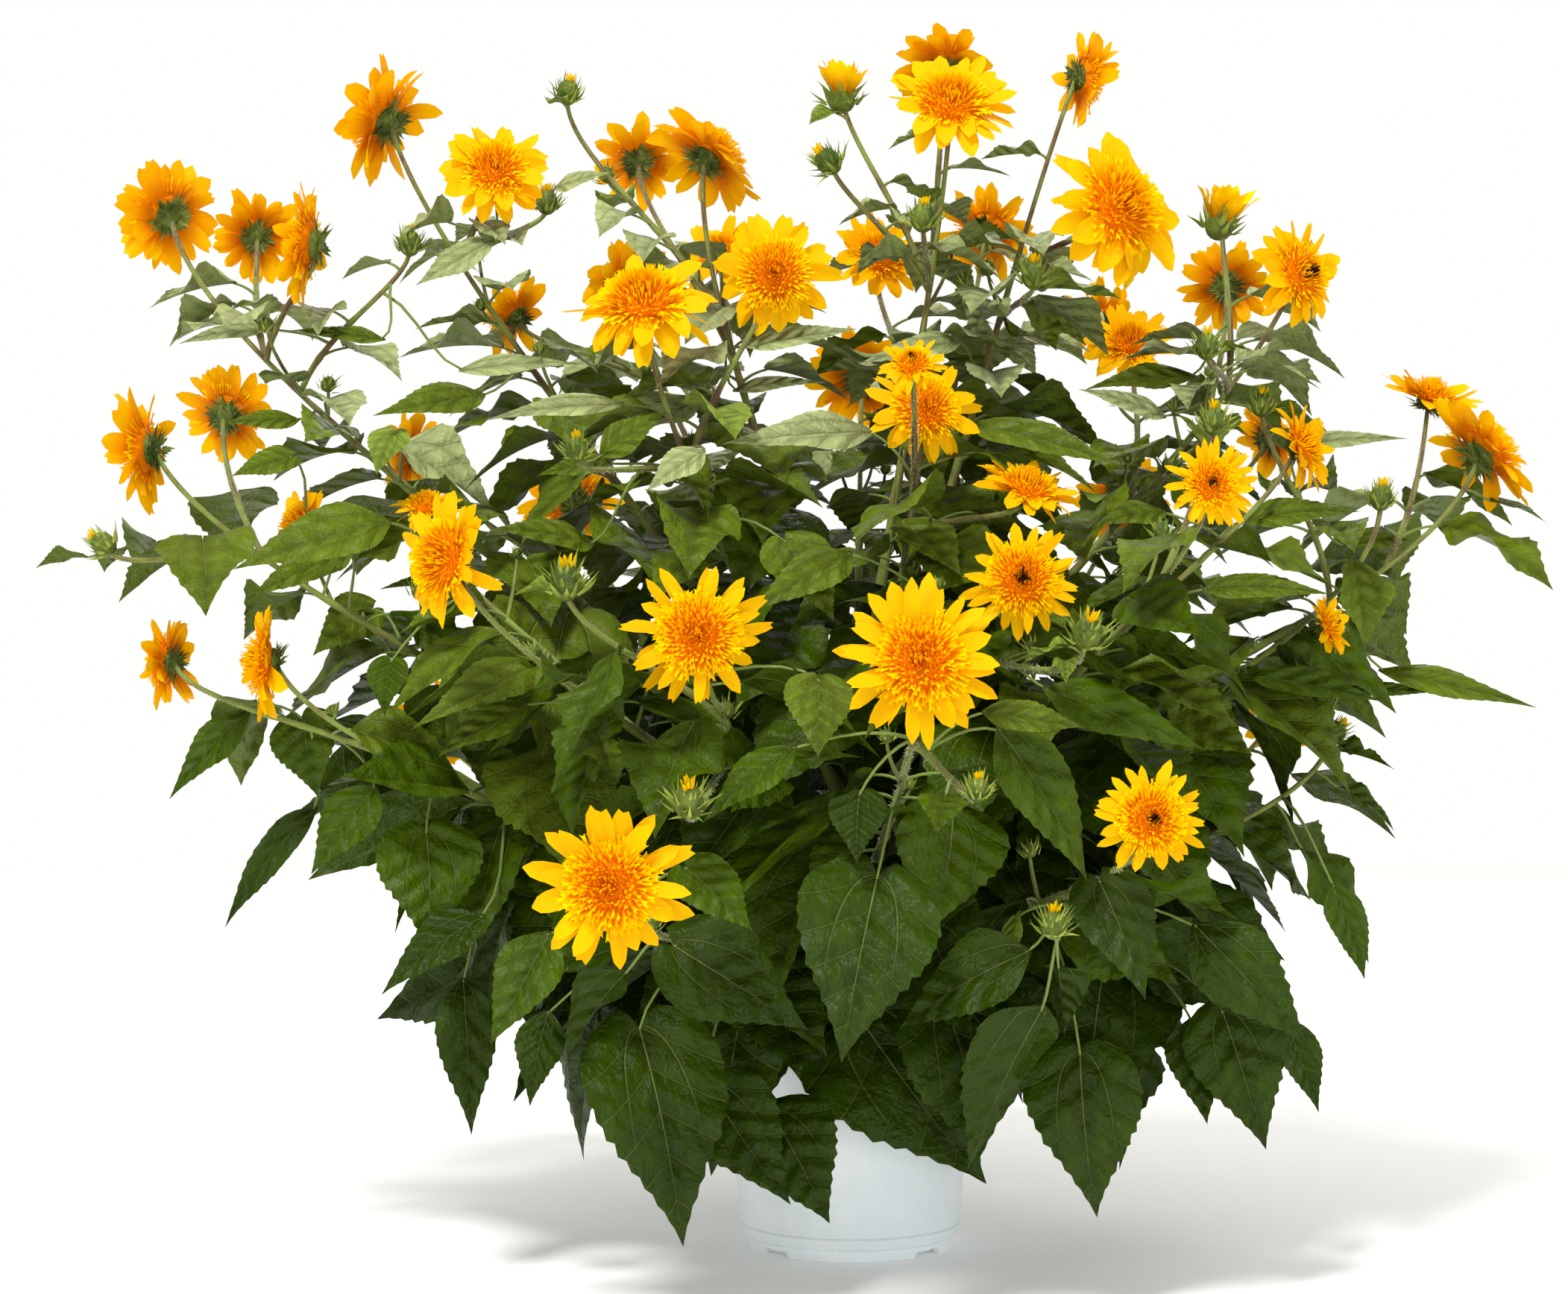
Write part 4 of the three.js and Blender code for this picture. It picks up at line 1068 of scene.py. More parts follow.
def leaf_from(base, tip, width, stalks, seed):
    """A leaf whose blade runs from one place to another with its face to the front, carried from
    the best root near it on any of the stalks."""
    length = np.linalg.norm(tip - base)
    level = (tip - base) / length
    facing = at((chance(seed, 1) - 0.5) * 0.5, -0.8, 0.6)
    places = np.concatenate([stalk.at(np.linspace(0.1, 0.95, 25)) for stalk in stalks])
    back = places - base
    cost = np.abs(np.linalg.norm(back, axis=1) - FRONT_STALK) + np.maximum(0, back @ level)
    root = places[np.argmin(cost + np.maximum(0, -back[:, 1]) * 0.5)]
    age = 0.2 if width > BROAD_FRONT * length else 0.6
    up = unit(facing - level * (facing @ level))
    bends = FRONT_DROOP / 2, FRONT_DROOP, 0.0
    return Leaf(root, base, level, length * BENT, width, *bends, age, (seed, 0, 0), up, sure=True)


wanted = []  # every leaf that the rule asks for, the ones that must be there first
for i, shoot in enumerate(SHOOTS):
    own_stalks = [shoot.leader, *shoot.sides]
    wanted += [leaf_to(tip, own_stalks, (500 + i, k, 0)) for k, tip in enumerate(shoot.leaves)]
skirt_stalks = []
for i in range(SKIRTS):
    azimuth = i / SKIRTS * 360 + 20
    foot = stem_point(SKIRT_ROOTS[0] + (i % 3) * SKIRT_ROOTS[1])
    end = heading(azimuth) * SKIRT_REACH * lerp(0.85, 1.15, chance(200, i))
    end[2] = SKIRT_HEIGHTS[0] + (chance(201, i) - 0.5) * 0.04
    middle = foot + heading(azimuth, 20) * SKIRT_REACH / 2
    stalk = Stalk(foot, lerp(foot, middle, 2 / 3), lerp(end, middle, 2 / 3), end)
    skirt_stalks.append(stalk)
    low = heading(azimuth + 5) * SKIRT_REACH * 1.1
    low[2] = SKIRT_HEIGHTS[1] + chance(202, i) * 0.05
    grown = [leaf_to(low, [stalk], (600 + i, 0, 0))]
    grown += leaves_on(stalk, 0.25, 1, 300 + i, length=SKIRT_LEAF, hang=SKIRT_HANG)
    for leaf in grown:
        leaf.blade = max(leaf.blade, SKIRT_LEAF * 0.8)
        leaf.width = leaf.blade * LEAF_WIDTHS[0]
        leaf.age = 0.0
    wanted += grown
limbs = [limb for shoot in SHOOTS for limb in [shoot.leader, *shoot.sides]] + skirt_stalks
fronts = [(at(*base), at(*tip), width) for base, tip, width in FRONT_LEAVES]
wanted = [leaf_from(*front, limbs, 1000 + i) for i, front in enumerate(fronts)] + wanted
for i, shoot in enumerate(SHOOTS):
    start = BOUGH_SHARE if shoot.bough else LOW_LEAVES_FROM
    wanted += leaves_on(shoot.leader, start, LEADER_BARE, i)
    if shoot.bough:
        few = BOUGH_LEAVES_FROM, BOUGH_SHARE
        wanted += leaves_on(shoot.leader, *few, 700 + i, hang=hang_at(shoot.foot))
    for k, side in enumerate(shoot.sides):
        wanted += leaves_on(side, *SIDE_LEAVES, 100 + i * 8 + k, young=SIDE_AGE)
    for k, stalk in enumerate([shoot.leader, *shoot.sides]):
        for j, t in enumerate(TINY_AT):
            if stalk.length > TINY_STALK and chance(802 + i, k, j) < TINY_SHARE:
                away = heading(360 * chance(800 + i, k, j))
                small = TINY_LEAF * lerp(0.7, 1.3, chance(801 + i, k, j))
                wanted.append(leaf_at(stalk.at(t), away, 1.0, (800 + i, k, j), small, 0))

# ---------------------------------------------------------------- room for each leaf
# A leaf turns aside where its blade would pass through a stalk, a flower or another leaf, or
# would lie in front of a flower or a front leaf, and where no turn helps it doesn't grow.

# What a leaf tries in turn: degrees aside, degrees up, and its size.
TRIES = (
    (0, 0, 1.0),
    (25, -8, 0.96),
    (-25, -10, 0.96),
    (50, 8, 0.9),
    (-50, 6, 0.88),
    (0, 26, 0.8),
    (80, 0, 0.76),
    (-80, 0, 0.76),
    (0, -30, 0.68),
)
HEAD_GUARD = 0.92  # of a flower's radius, kept clear in front of it
BLADE_GUARD = 0.34  # of the width of a leaf at the front
GUARD_DEPTH = 0.12  # how far in front of it
FRONT_HEADS = 0.10  # what is nearer the front than this is also kept clear from the front
LOWEST_LEAF = 0.045  # no blade reaches lower
BOX_SLACK = 0.006  # how far a blade's plain shape may stand out of the solids' box


def strap(columns, rows, place):
    """A flat shape cut in columns, shares of its half width, and rows, shares of its length."""
    bm = bmesh.new()
    bmesh.ops.create_grid(bm, x_segments=len(columns) - 1, y_segments=len(rows) - 1, size=0.5)
    for v in bm.verts:
        i = round((v.co.x + 0.5) * (len(columns) - 1))
        k = round((v.co.y + 0.5) * (len(rows) - 1))
        v.co = place(columns[i], rows[k], i, k)
    bmesh.ops.remove_doubles(bm, verts=bm.verts, dist=1e-5)
    return bm


def traits(name, leaves):
    return np.array([getattr(leaf, name) for leaf in leaves], float)


def blades(
    shape, base, level, up, length, width, pitch, droop, roll=0, fold=0, wave=0, phase=0, sweep=0, twist=0
):
    """Copies of a flat shape laid out as leaves, petals or bracts. Each starts at its base along
    level, tipped towards up by pitch degrees, and bends back by droop degrees to its tip. Its
    sides fold up, its edges wave, and it may sweep to one side, roll or twist."""
    x, y, z = shape.points.T
    level, up, base = level[:, None], up[:, None], base[:, None]

    def each(value):
        return np.broadcast_to(np.asarray(value, float).reshape(-1, 1), (len(base), 1))

    def slope(bend):
        return level * np.cos(bend)[..., None] + up * np.sin(bend)[..., None]

    way = slope(np.radians(each(pitch) - each(droop) * y))
    right = np.cross(level, up)
    face = np.cross(right, way)
    turn = each(roll) + each(twist) * y
    across = right * np.cos(turn)[..., None] - face * np.sin(turn)[..., None]
    face = np.cross(across, way)
    centre = base + slope(np.radians(each(pitch) - each(droop) * y / 2)) * (each(length) * y)[..., None]
    off = x * each(width)
    ripple = np.sin(9 * y + each(phase) + (x > 0) * 2.2) * each(wave) * each(width) * (2 * x) ** 2
    sideways = off * np.cos(each(fold)) + each(sweep) * each(length) * y**2
    rise = np.abs(off) * np.sin(each(fold)) + ripple + z * each(length)
    return centre + across * sideways[..., None] + face * rise[..., None]


def leaf_blades(shape, leaves):
    """The placed points of some leaves' blades, each a little different from the next."""
    luck = np.array([[chance(*leaf.seed, k) for k in range(10, 16)] for leaf in leaves]).reshape(-1, 6)
    age = traits("age", leaves)
    calm = 1 - 0.6 * traits("sure", leaves)
    names = "base", "level", "up", "blade", "width", "pitch", "droop", "roll"
    return blades(
        shape,
        *[traits(name, leaves) for name in names],
        fold=(0.06 + 0.18 * age + 0.32 * luck[:, 0]) * calm,
        wave=(0.05 + 0.16 * luck[:, 1] * (0.5 + age)) * calm,
        phase=luck[:, 2] * 6.3,
        sweep=(luck[:, 3] - 0.5) * 0.22,
        twist=(luck[:, 4] - 0.5) * 0.7 * calm,
    )


def in_plain(shape):
    return [face.tolist() for face in shape.faces()]


class Obstacle:
    """A placed shape that leaves keep clear of."""

    def __init__(self, points, faces):
        self.low, self.high = points.min(0), points.max(0)
        self.tree = BVHTree.FromPolygons(points.tolist(), faces)


class Crowd:
    """Everything that already has its place."""

    def __init__(self):
        self.things, self.lows, self.highs = [], np.empty((0, 3)), np.empty((0, 3))

    def welcome(self, thing):
        self.things.append(thing)
        self.lows = np.vstack([self.lows, thing.low])
        self.highs = np.vstack([self.highs, thing.high])

    def blocks(self, thing):
        near = ((self.lows <= thing.high) & (self.highs >= thing.low)).all(1)
        return any(self.things[i].tree.overlap(thing.tree) for i in np.flatnonzero(near))


plain_tube = tube(5, 8)
plain_rows = 0.05, 0.3, 0.55, 0.78, 1.0
half_widths = 0.4, 0.48, 0.36, 0.2, 0.0
plain_blade = Shape(strap((-1, 0, 1), plain_rows, lambda x, y, i, k: (x * half_widths[k], y, 0)))
plain_faces = in_plain(plain_blade)
heads = [tip for shoot in SHOOTS for tip in shoot.tips]
leaders = [shoot.leader for shoot in SHOOTS]
sides = [side for shoot in SHOOTS for side in shoot.sides]

crowd = Crowd()
kinds = ([stem], stem_radius), (leaders + skirt_stalks, bough_radius), (sides, side_radius)
for stalks, radius_at in kinds:
    for points in laid(plain_tube, stalks, [(0, 1)] * len(stalks), radius_at)[1]:
        crowd.welcome(Obstacle(points, in_plain(plain_tube)))
bm = bmesh.new()
bmesh.ops.create_cone(bm, cap_ends=False, segments=10, radius1=1, radius2=0, depth=0.9)
for head in heads:
    cone = bm.copy()
    turn = Vector((0, 0, 1)).rotation_difference(Vector(-head.facing)).to_matrix().to_4x4()
    bmesh.ops.transform(cone, verts=cone.verts, matrix=turn)
    bmesh.ops.scale(cone, verts=cone.verts, vec=[head.across / 2] * 3)
    bmesh.ops.translate(cone, verts=cone.verts, vec=head.place)
    solid = Shape(cone)
    crowd.welcome(Obstacle(solid.points, in_plain(solid)))
bm.free()

blown = [head for head in heads if head.across > BUD_ACROSS]
guarded = [(head.place, head.facing, head.across / 2 * HEAD_GUARD) for head in blown]
guarded += [
    (lerp(leaf.base, leaf.base + leaf.level * leaf.blade, share), leaf.up, leaf.width * BLADE_GUARD)
    for leaf in wanted if leaf.sure for share in (0.25, 0.6)
]
places, facings, radii = (np.array(column) for column in zip(*guarded))
eye = np.array(CAMERA_PLACE)


def hides_a_head(points):
    """True if some of a blade's points lie in front of a flower or of a leaf at the front."""
    apart = points[:, None] - places
    depth = (apart * facings).sum(2)
    off = np.linalg.norm(apart - facings * depth[..., None], axis=2)
    before = (depth > 0) & (depth < GUARD_DEPTH) & (off < radii)
    reach = (places[:, 1] - eye[1]) / (points[:, None, 1] - eye[1])
    sight = eye + (points[:, None] - eye) * reach[..., None]
    seen_off = np.linalg.norm((sight - places)[..., [0, 2]], axis=2)
    nearer = points[:, None, 1] < places[:, 1] - 0.005
    from_front = nearer & (seen_off < radii) & (places[:, 1] < FRONT_HEADS)
    return (before | from_front).any()


def turned(leaf, turn, pitch, scale):
    """A leaf that has turned aside by some degrees."""
    if (turn, pitch, scale) == (0, 0, 1.0):
        return leaf
    c, s = math.cos(math.radians(turn)), math.sin(math.radians(turn))
    spin = np.array([[c, -s, 0], [s, c, 0], [0, 0, 1]])
    out = spin @ (leaf.base - leaf.root)
    return Leaf(
        leaf.root, leaf.root + out * scale, spin @ leaf.level, leaf.blade * scale, leaf.width * scale,
        leaf.pitch + pitch, leaf.droop, leaf.roll, leaf.age, leaf.seed, spin @ leaf.up,
    )


leaves = []
box_low, box_high = np.array(cad_box[0]) - BOX_SLACK, np.array(cad_box[1]) + BOX_SLACK
for leaf in wanted:
    for turn, pitch, scale in TRIES:
        tried = turned(leaf, turn, pitch, scale)
        points = leaf_blades(plain_blade, [tried])[0]
        outside = (points < box_low).any() or (points > box_high).any()
        if outside or points[:, 2].min() < LOWEST_LEAF:
            continue
        if not tried.sure and hides_a_head(points):
            continue
        thing = Obstacle(points, plain_faces)
        if not crowd.blocks(thing):
            crowd.welcome(thing)
            leaves.append(tried)
            break

# ---------------------------------------------------------------- the leaves
# Thin, rough, hairy blades, heart-shaped low on the plant and slimmer above, with a pale midrib,
# two strong side veins from the base and small teeth. Each blade is its stalk's flattened end.

BLADE_ROWS = (0, 0.02, 0.05, *np.linspace(0.09, 1, 24))
BLADE_COLUMNS = (-1, -0.5, 0, 0.5, 1)
HEART_OUTLINE = (
    (0, 0.02, 0.06, 0.12, 0.20, 0.28, 0.37, 0.46, 0.56, 0.66, 0.76, 0.86, 0.94, 1),
    (0.20, 0.46, 0.73, 0.91, 0.99, 1, 0.95, 0.85, 0.70, 0.52, 0.34, 0.17, 0.06, 0),
)
OVATE_OUTLINE = (
    (0, 0.03, 0.08, 0.15, 0.24, 0.34, 0.44, 0.54, 0.65, 0.76, 0.86, 0.94, 1),
    (0.04, 0.20, 0.45, 0.74, 0.95, 1, 0.94, 0.80, 0.60, 0.38, 0.19, 0.07, 0),
)
LOBE = 0.10  # of its length, that a heart-shaped blade reaches back past its stalk
TOOTH = 0.024  # of its width
TOOTH_LEAN = 0.010  # of its length
PILLOW = 0.028  # of its length, that a blade stands up between its veins
QUILT = 0.0012  # of its length, that it puckers across
OVATE_FROM = 0.42  # age of the first ovate leaves
# The leaf tints are lit and shaded copies of one green: deep, dark and mid are painted shade for leaves low
# on the plant and inside it, grey is a painted highlight for the sunlit top, and fresh is the young leaves'
# own paler green.
LEAF_TINTS = {
    "deep": ("#263800", "#2E4006"),
    "dark": ("#374B00", "#3E520C"),
    "mid": ("#4F5F0F", "#54651E"),
    "grey": ("#8C9662", "#7E8C56"),
    "fresh": ("#6C802A", "#748636"),
}
TINT_STEPS = ("deep", 0.18), ("dark", 0.46), ("mid", 0.84)  # the light below which each is seen
FRESH_BLADE = 0.045  # a smaller one is fresh
VEIN = "#98A24A"


def blade_shape(outline, lobe, seed):
    """A leaf's blade, one wide and one long, in its own toothed outline."""

    def place(column, row, i, k):
        x = column * 0.5 * float(np.interp(row, *outline))
        y = row
        if abs(column) == 1 and 3 < k < len(BLADE_ROWS) - 1:
            tooth = lerp(0.3, 1.2, chance(seed, i, k)) * (1 if k % 2 else -1)
            tooth *= min(1, abs(x) * 4)
            x += column * TOOTH / 2 * tooth
            y += TOOTH_LEAN * tooth
        y -= lobe * abs(column) * (1 - row) ** 10
        swell = math.sin(math.pi * min(1, row + 0.12)) ** 0.5
        z = PILLOW * swell * (-0.25, 1, -0.2)[round(2 * abs(column))]
        return x, y, z + QUILT * swell * (abs(column) == 0.5) * (-1) ** k

    return Shape(strap(BLADE_COLUMNS, BLADE_ROWS, place))


def on_flat_map(tree):
    """A point's place on its piece's flat map, across and along."""
    return add(tree, "SeparateXYZ", Vector=add(tree, "UVMap", {"uv_map": "flat"}).outputs[0]).outputs[:2]


def vein_group():
    """The pattern of a blade's veins, from its flat map: strong side veins that curve up from the base, finer
    ones that leave the midrib, and the puckers between them. The last output is a mask for painted highlights
    on the puckers, low along the veins."""
    tree = bpy.data.node_groups.new("veins", "ShaderNodeTree")
    for label in ("Vein", "Height", "Pillow"):
        tree.interface.new_socket(label, in_out="OUTPUT", socket_type="NodeSocketFloat")
    across, along = on_flat_map(tree)
    across = sum_of(tree, "ABSOLUTE", across)
    arch = times(tree, along, sum_of(tree, "SUBTRACT", 1.0, along))
    bow = times(tree, sum_of(tree, "POWER", sum_of(tree, "MAXIMUM", arch, 0.0001), 0.5), 0.46)
    off = sum_of(tree, "ABSOLUTE", sum_of(tree, "SUBTRACT", across, bow))
    strong = between(tree, off, 0.013, 0.004)
    strong = times(tree, strong, between(tree, along, 0.7, 0.1, (0.0, 0.6)))
    lag = sum_of(tree, "SUBTRACT", along, times(tree, across, 0.75))
    lag = plus(tree, lag, times(tree, times(tree, across, across), 0.5))
    beat = sum_of(tree, "PINGPONG", times(tree, lag, 5.0), 0.5)
    fine = times(tree, between(tree, beat, 0.045, 0.01), 0.28)
    taper = between(tree, along, 1.0, 0.0, (0.05, 1.0))
    midrib = between(tree, sum_of(tree, "DIVIDE", across, taper), 0.012, 0.005)
    vein = sum_of(tree, "MAXIMUM", sum_of(tree, "MAXIMUM", strong, fine), midrib)
    ends = tree.nodes.new("NodeGroupOutput").inputs
    tree.links.new(vein, ends["Vein"])
    puff = sum_of(tree, "SUBTRACT", between(tree, beat, 0.0, 0.5), times(tree, vein, 1.2))
    tree.links.new(puff, ends["Height"])
    # A mask for painted highlights between the veins, falling to painted shade along them.
    pillow_highlight = times(tree, between(tree, across, 0.0, 0.15), between(tree, off, 0.0, 0.1, (0.35, 1.0)))
    pillow_highlight = times(tree, pillow_highlight, between(tree, beat, 0.0, 0.22, (0.6, 1.0)))
    tree.links.new(pillow_highlight, ends["Pillow"])
    return tree


VEINS = vein_group()


def leaf_green(name, face, back):
    """A blade's skin: satin green, uneven in tone, with painted highlights and painted shade in random
    patches and on the puckers between the veins, paler veins and a paler back.
    """
    paint, tree, shader = finish(name, Roughness=0.42, Specular_IOR_Level=0.14)
    veins = add(tree, "Group")
    veins.node_tree = VEINS
    marks = mottled(tree, 48.0, 700.0)
    broad = mottled(tree, 11.0, 40.0)
    green = colour(face)
    # Two copies of the blade's green: a lighter one as a painted highlight and a darker one as painted shade.
    pale, painted_shade_green = ([min(1, c * share) for c in green[:3]] + [1] for share in (1.45, 0.64))
    # Random patches, and the puckers between the veins, are tinted from the painted shade to the painted
    # highlight.
    shade = times(tree, plus(tree, broad["Patch"], marks["Patch"]), 0.3)
    shade = plus(tree, shade, times(tree, veins.outputs["Pillow"], 0.45))
    skin = tint(tree, shade, painted_shade_green, pale)
    skin = tint(tree, times(tree, veins.outputs["Vein"], 0.34), skin, VEIN)
    behind = tint(tree, times(tree, veins.outputs["Vein"], 0.4), back, "#8E9C5E")
    side = add(tree, "NewGeometry").outputs["Backfacing"]
    painted(tree, shader, tint(tree, side, skin, behind))
    height = plus(tree, veins.outputs["Height"], marks["Patch"])
    height = plus(tree, height, times(tree, marks["Height"], 0.12))
    raised(tree, shader, height, 0.85, 0.0030)
    let_light_through(tree, shader, [min(1, c * k) for c, k in zip(green, (2.2, 2.0, 1.0))] + [1], 0.06)
    return paint


hearts = [blade_shape(HEART_OUTLINE, LOBE, seed) for seed in (1, 2)]
ovates = [blade_shape(OVATE_OUTLINE, LOBE * 0.2, seed) for seed in (3, 4)]
masses = [f"foliage_{s.name}" for s in SHOOTS] + [f"skirt_{i + 1}" for i in range(SKIRTS)]


def tint_of(leaf):
    """Which tint a leaf has: painted shade, darker the lower and the further inside the plant it stands, and
    a painted highlight, paler and greyer, on the highest leaves.
    """
    young = not leaf.sure and leaf.blade < 0.1 and chance(*leaf.seed, 20) > 0.95
    if leaf.blade < FRESH_BLADE or young:
        return "fresh"
    inside = max(0, 1 - math.hypot(leaf.base[0], leaf.base[1]) / 0.26) * min(max(3 - 4 * leaf.base[2], 0), 1)
    light = (leaf.base[2] - 0.22) / 0.56 + (chance(*leaf.seed, 21) - 0.5) * 0.36
    # Painted shade for the leaves inside the plant, where the others shade them.
    light -= 0.4 * inside * (not leaf.sure)
    return next((tone for tone, below in TINT_STEPS if light < below), "grey")


for tone, (face, back) in LEAF_TINTS.items():
    chosen = [leaf for leaf in leaves if tint_of(leaf) == tone]
    batches = []
    for k in (0, 1):
        half = [leaf for leaf in chosen if round(chance(*leaf.seed, 22)) == k]
        broad = [leaf for leaf in half if leaf.age < OVATE_FROM]
        slim = [leaf for leaf in half if leaf.age >= OVATE_FROM]
        kinds = (hearts[k], broad), (ovates[k], slim)
        batches += [(shape, leaf_blades(shape, some)) for shape, some in kinds if some]
    heap(f"leaves_{tone}", batches, [leaf_green(f"leaf_{tone}", face, back)], "foliage", *masses)

# ---------------------------------------------------------------- the leaf stalks
# Each blade is carried by a thin green stalk that leaves its stem upwards and bends over into
# the blade's midrib.

LEAF_STALK_RADII = 0.0017, 0.0010
LEAF_STALK_TUBE = 5, 5


def leaf_stalk_of(leaf):
    pitch = math.radians(leaf.pitch)
    way = leaf.level * math.cos(pitch) + leaf.up * math.sin(pitch)
    length = np.linalg.norm(leaf.base - leaf.root)
    out = unit(leaf.base - leaf.root)
    return Stalk(
        leaf.root,
        leaf.root + unit(out + UP * 0.4) * length * 0.35,
        leaf.base - unit(way + out) * length * 0.3,
        leaf.base + way * 0.002,
    )


leaf_stalks = [leaf_stalk_of(leaf) for leaf in leaves]
whole = [(0, 1)] * len(leaf_stalks)
thin_tube = tube(*LEAF_STALK_TUBE)
leaf_stalk_batch = laid(thin_tube, leaf_stalks, whole, lambda t: lerp(*LEAF_STALK_RADII, t**0.6))
leaf_stalk_skin = stem_green("leaf_stalk_skin", "#66802C", "#5E4A2C", 0.4)
heap("leaf_stalks", [leaf_stalk_batch], [leaf_stalk_skin], "stems", *masses)

# ---------------------------------------------------------------- the flower stalks
# From the boughs' ends on, the shoots are slimmer and yellower, flushed with purple-brown
# under the flowers, and they fork into a stalk for each flower and bud.

STALK_TUBE = 9, 26
STALK_RIBS = 4
STALK_STARTS = BOUGH_SHARE - 0.004  # of a leader with a bough, just within the bough's end
spans = [(STALK_STARTS if s.bough else 0.0, 1) for s in SHOOTS]
stalk_tube = tube(*STALK_TUBE)
stalk_batches = [
    laid(stalk_tube, leaders, spans, bough_radius, STALK_RIBS, 0.28),
    laid(stalk_tube, sides, [(0, 1)] * len(sides), side_radius, STALK_RIBS, 0.25),
    laid(stalk_tube, skirt_stalks, [(0, 1)] * SKIRTS, bough_radius, STALK_RIBS, 0.2),
]
stalk_skin = stem_green("stalk_skin", "#748A2E", "#5E3A2A", 0.85)
heap("flower_stalks", stalk_batches, [stalk_skin], "stems", *masses)

# ---------------------------------------------------------------- the flowers
# Each flower is two rings of broad yellow ray petals round a dome of hundreds of narrow orange
# florets, with a ruff of pointed green bracts behind it, all on one fleshy head.

PETAL_COLUMNS = (-1, -0.5, 0, 0.5, 1)
PETAL_ROWS = (0, 0.16, 0.34, 0.54, 0.73, 0.88, 1)
PETAL_OUTLINE = (PETAL_ROWS, (0.52, 0.74, 0.94, 1, 0.94, 0.73, 0.16))
PETAL_GROOVE = 0.012  # of its length
PETALS = 13, 11  # in the lower whorl and in the upper
FLORETS = 290
PETAL_BREADTHS = 0.68, 0.95
OLDER_BREADTH = 1.35  # how much broader the petals of the older flowers are
DARK_BREADTH = 0.76
DISC_SHARE = 0.45  # of the flower's radius, where the florets stand
DOME_SHARE = 0.17
DARK_SHARE = 0.27  # of the ring of florets, that is dark in a dark flower
HALF_OPEN_PETALS = 12, 9
BRACTS = 40
GOLDEN_TURN = math.radians(137.508)


def petal_shape(notched):
    def place(column, row, i, k):
        half = 0.5 * float(np.interp(row, *PETAL_OUTLINE))
        y = row - (0.05 * (1 - abs(column)) * (row == 1) if notched else 0.02 * column**2 * row)
        wide = 0.14 * column if notched and row == 1 else 0
        z = -PETAL_GROOVE * (abs(column) == 0.5) + PETAL_GROOVE * 0.8 * (column == 0) - 0.02 * column**2
        return column * half + wide, y, z * math.sin(math.pi * min(row + 0.1, 1)) ** 0.5

    return Shape(strap(PETAL_COLUMNS, PETAL_ROWS, place))


def floret_shape():
    """A narrow floret, folded to a channel, with a notched, flared end."""

    def place(column, row, i, k):
        width = (0.5, 0.42, 0.55, 0.8)[k]
        y = row - 0.12 * (1 - abs(column)) * (k == 3)
        return column * 0.5 * width, y, 0.028 * abs(column) * (1.0, 1.3, 1.0, 0.2)[k]

    return Shape(strap((-1, 0, 1), (0, 0.45, 0.8, 1), place))


def bract_shape():
    def place(column, row, i, k):
        return column * 0.5 * (0.9, 1.0, 0.6, 0.25, 0.02)[k], row, 0.05 * abs(column) * (1 - row)

    return Shape(strap((-1, 0, 1), (0, 0.25, 0.55, 0.82, 1), place))


def petal_yellow(name, face, warmer, behind, root_behind):
    """Ray petals, bright yellow, warmer at the base and darker along their ridges behind."""
    paint, tree, shader = finish(name, Roughness=0.55, Specular_IOR_Level=0.06)
    across, along = on_flat_map(tree)
    marks = mottled(tree, 14.0, 500.0)
    warm = times(tree, between(tree, along, 0.6, 0.1), 0.8)
    warm = sum_of(tree, "MINIMUM", plus(tree, warm, times(tree, marks["Patch"], 0.2)), 1.0)
    front = tint(tree, warm, face, warmer)
    ridge = between(tree, sum_of(tree, "PINGPONG", times(tree, across, 9.0), 0.5), 0.0, 0.5)
    stripe = times(tree, ridge, between(tree, along, 0.8, 0.1))
    root = between(tree, along, 0.75, 0.15)
    back = tint(tree, root, behind, root_behind)
    back = tint(tree, stripe, back, "#B86200")
    side = add(tree, "NewGeometry").outputs["Backfacing"]
    painted(tree, shader, tint(tree, side, front, back))
    raised(tree, shader, plus(tree, ridge, times(tree, marks["Height"], 0.3)), 0.35, 0.0006)
    let_light_through(tree, shader, "#FFC400", 0.36)
    return paint


def floret_orange():
    """Florets run from a red-brown throat to a lip that is orange in the middle of the flower and golden at
    its edge; the dark throats deep between the florets are partly their own colour and partly painted shade
    in the gaps. Their flat map has each one's place in the ring across."""
    paint, tree, shader = finish("floret_orange", Roughness=0.7, Specular_IOR_Level=0.02)
    across, along = on_flat_map(tree)
    marks = mottled(tree, 40.0, 400.0)
    lip = tint(tree, between(tree, across, 0.05, 0.8), "#FFBE00", "#FFDC00")
    # The throat's red-brown, darkest in the middle of the flower, is partly the florets' own colour and
    # partly painted shade in the gaps between them.
    throat = tint(tree, across, "#A82800", "#F49600")
    rise = between(tree, along, 0.25, 0.7)
    rise = times(tree, rise, plus(tree, 0.75, times(tree, marks["Speck"], 0.35)))
    painted(tree, shader, tint(tree, rise, throat, lip))
    raised(tree, shader, marks["Height"], 0.3, 0.0005)
    let_light_through(tree, shader, "#FFB200", 0.25)
    return paint


def frame_of(head):
    """The three directions of a flower: two across it and the way it faces."""
    first = unit(np.cross(UP, head.facing)) if abs(head.facing[2]) < 0.99 else at(1, 0, 0)
    return first, np.cross(head.facing, first), head.facing


def rays(head, turns, out, rise):
    """Starts and directions round a flower, at some turns, radii and heights, in its radius."""
    first, second, axis = frame_of(head)
    radius = head.across / 2
    radial = first * np.cos(turns)[:, None] + second * np.sin(turns)[:, None]
    base = head.place + radial * (out * radius)[:, None] + axis * (rise * radius)[:, None]
    return base, radial, np.broadcast_to(axis, radial.shape)


def luck_of(seed, count, *keys):
    return np.array([[chance(seed, i, key) for key in keys] for i in range(count)]).T


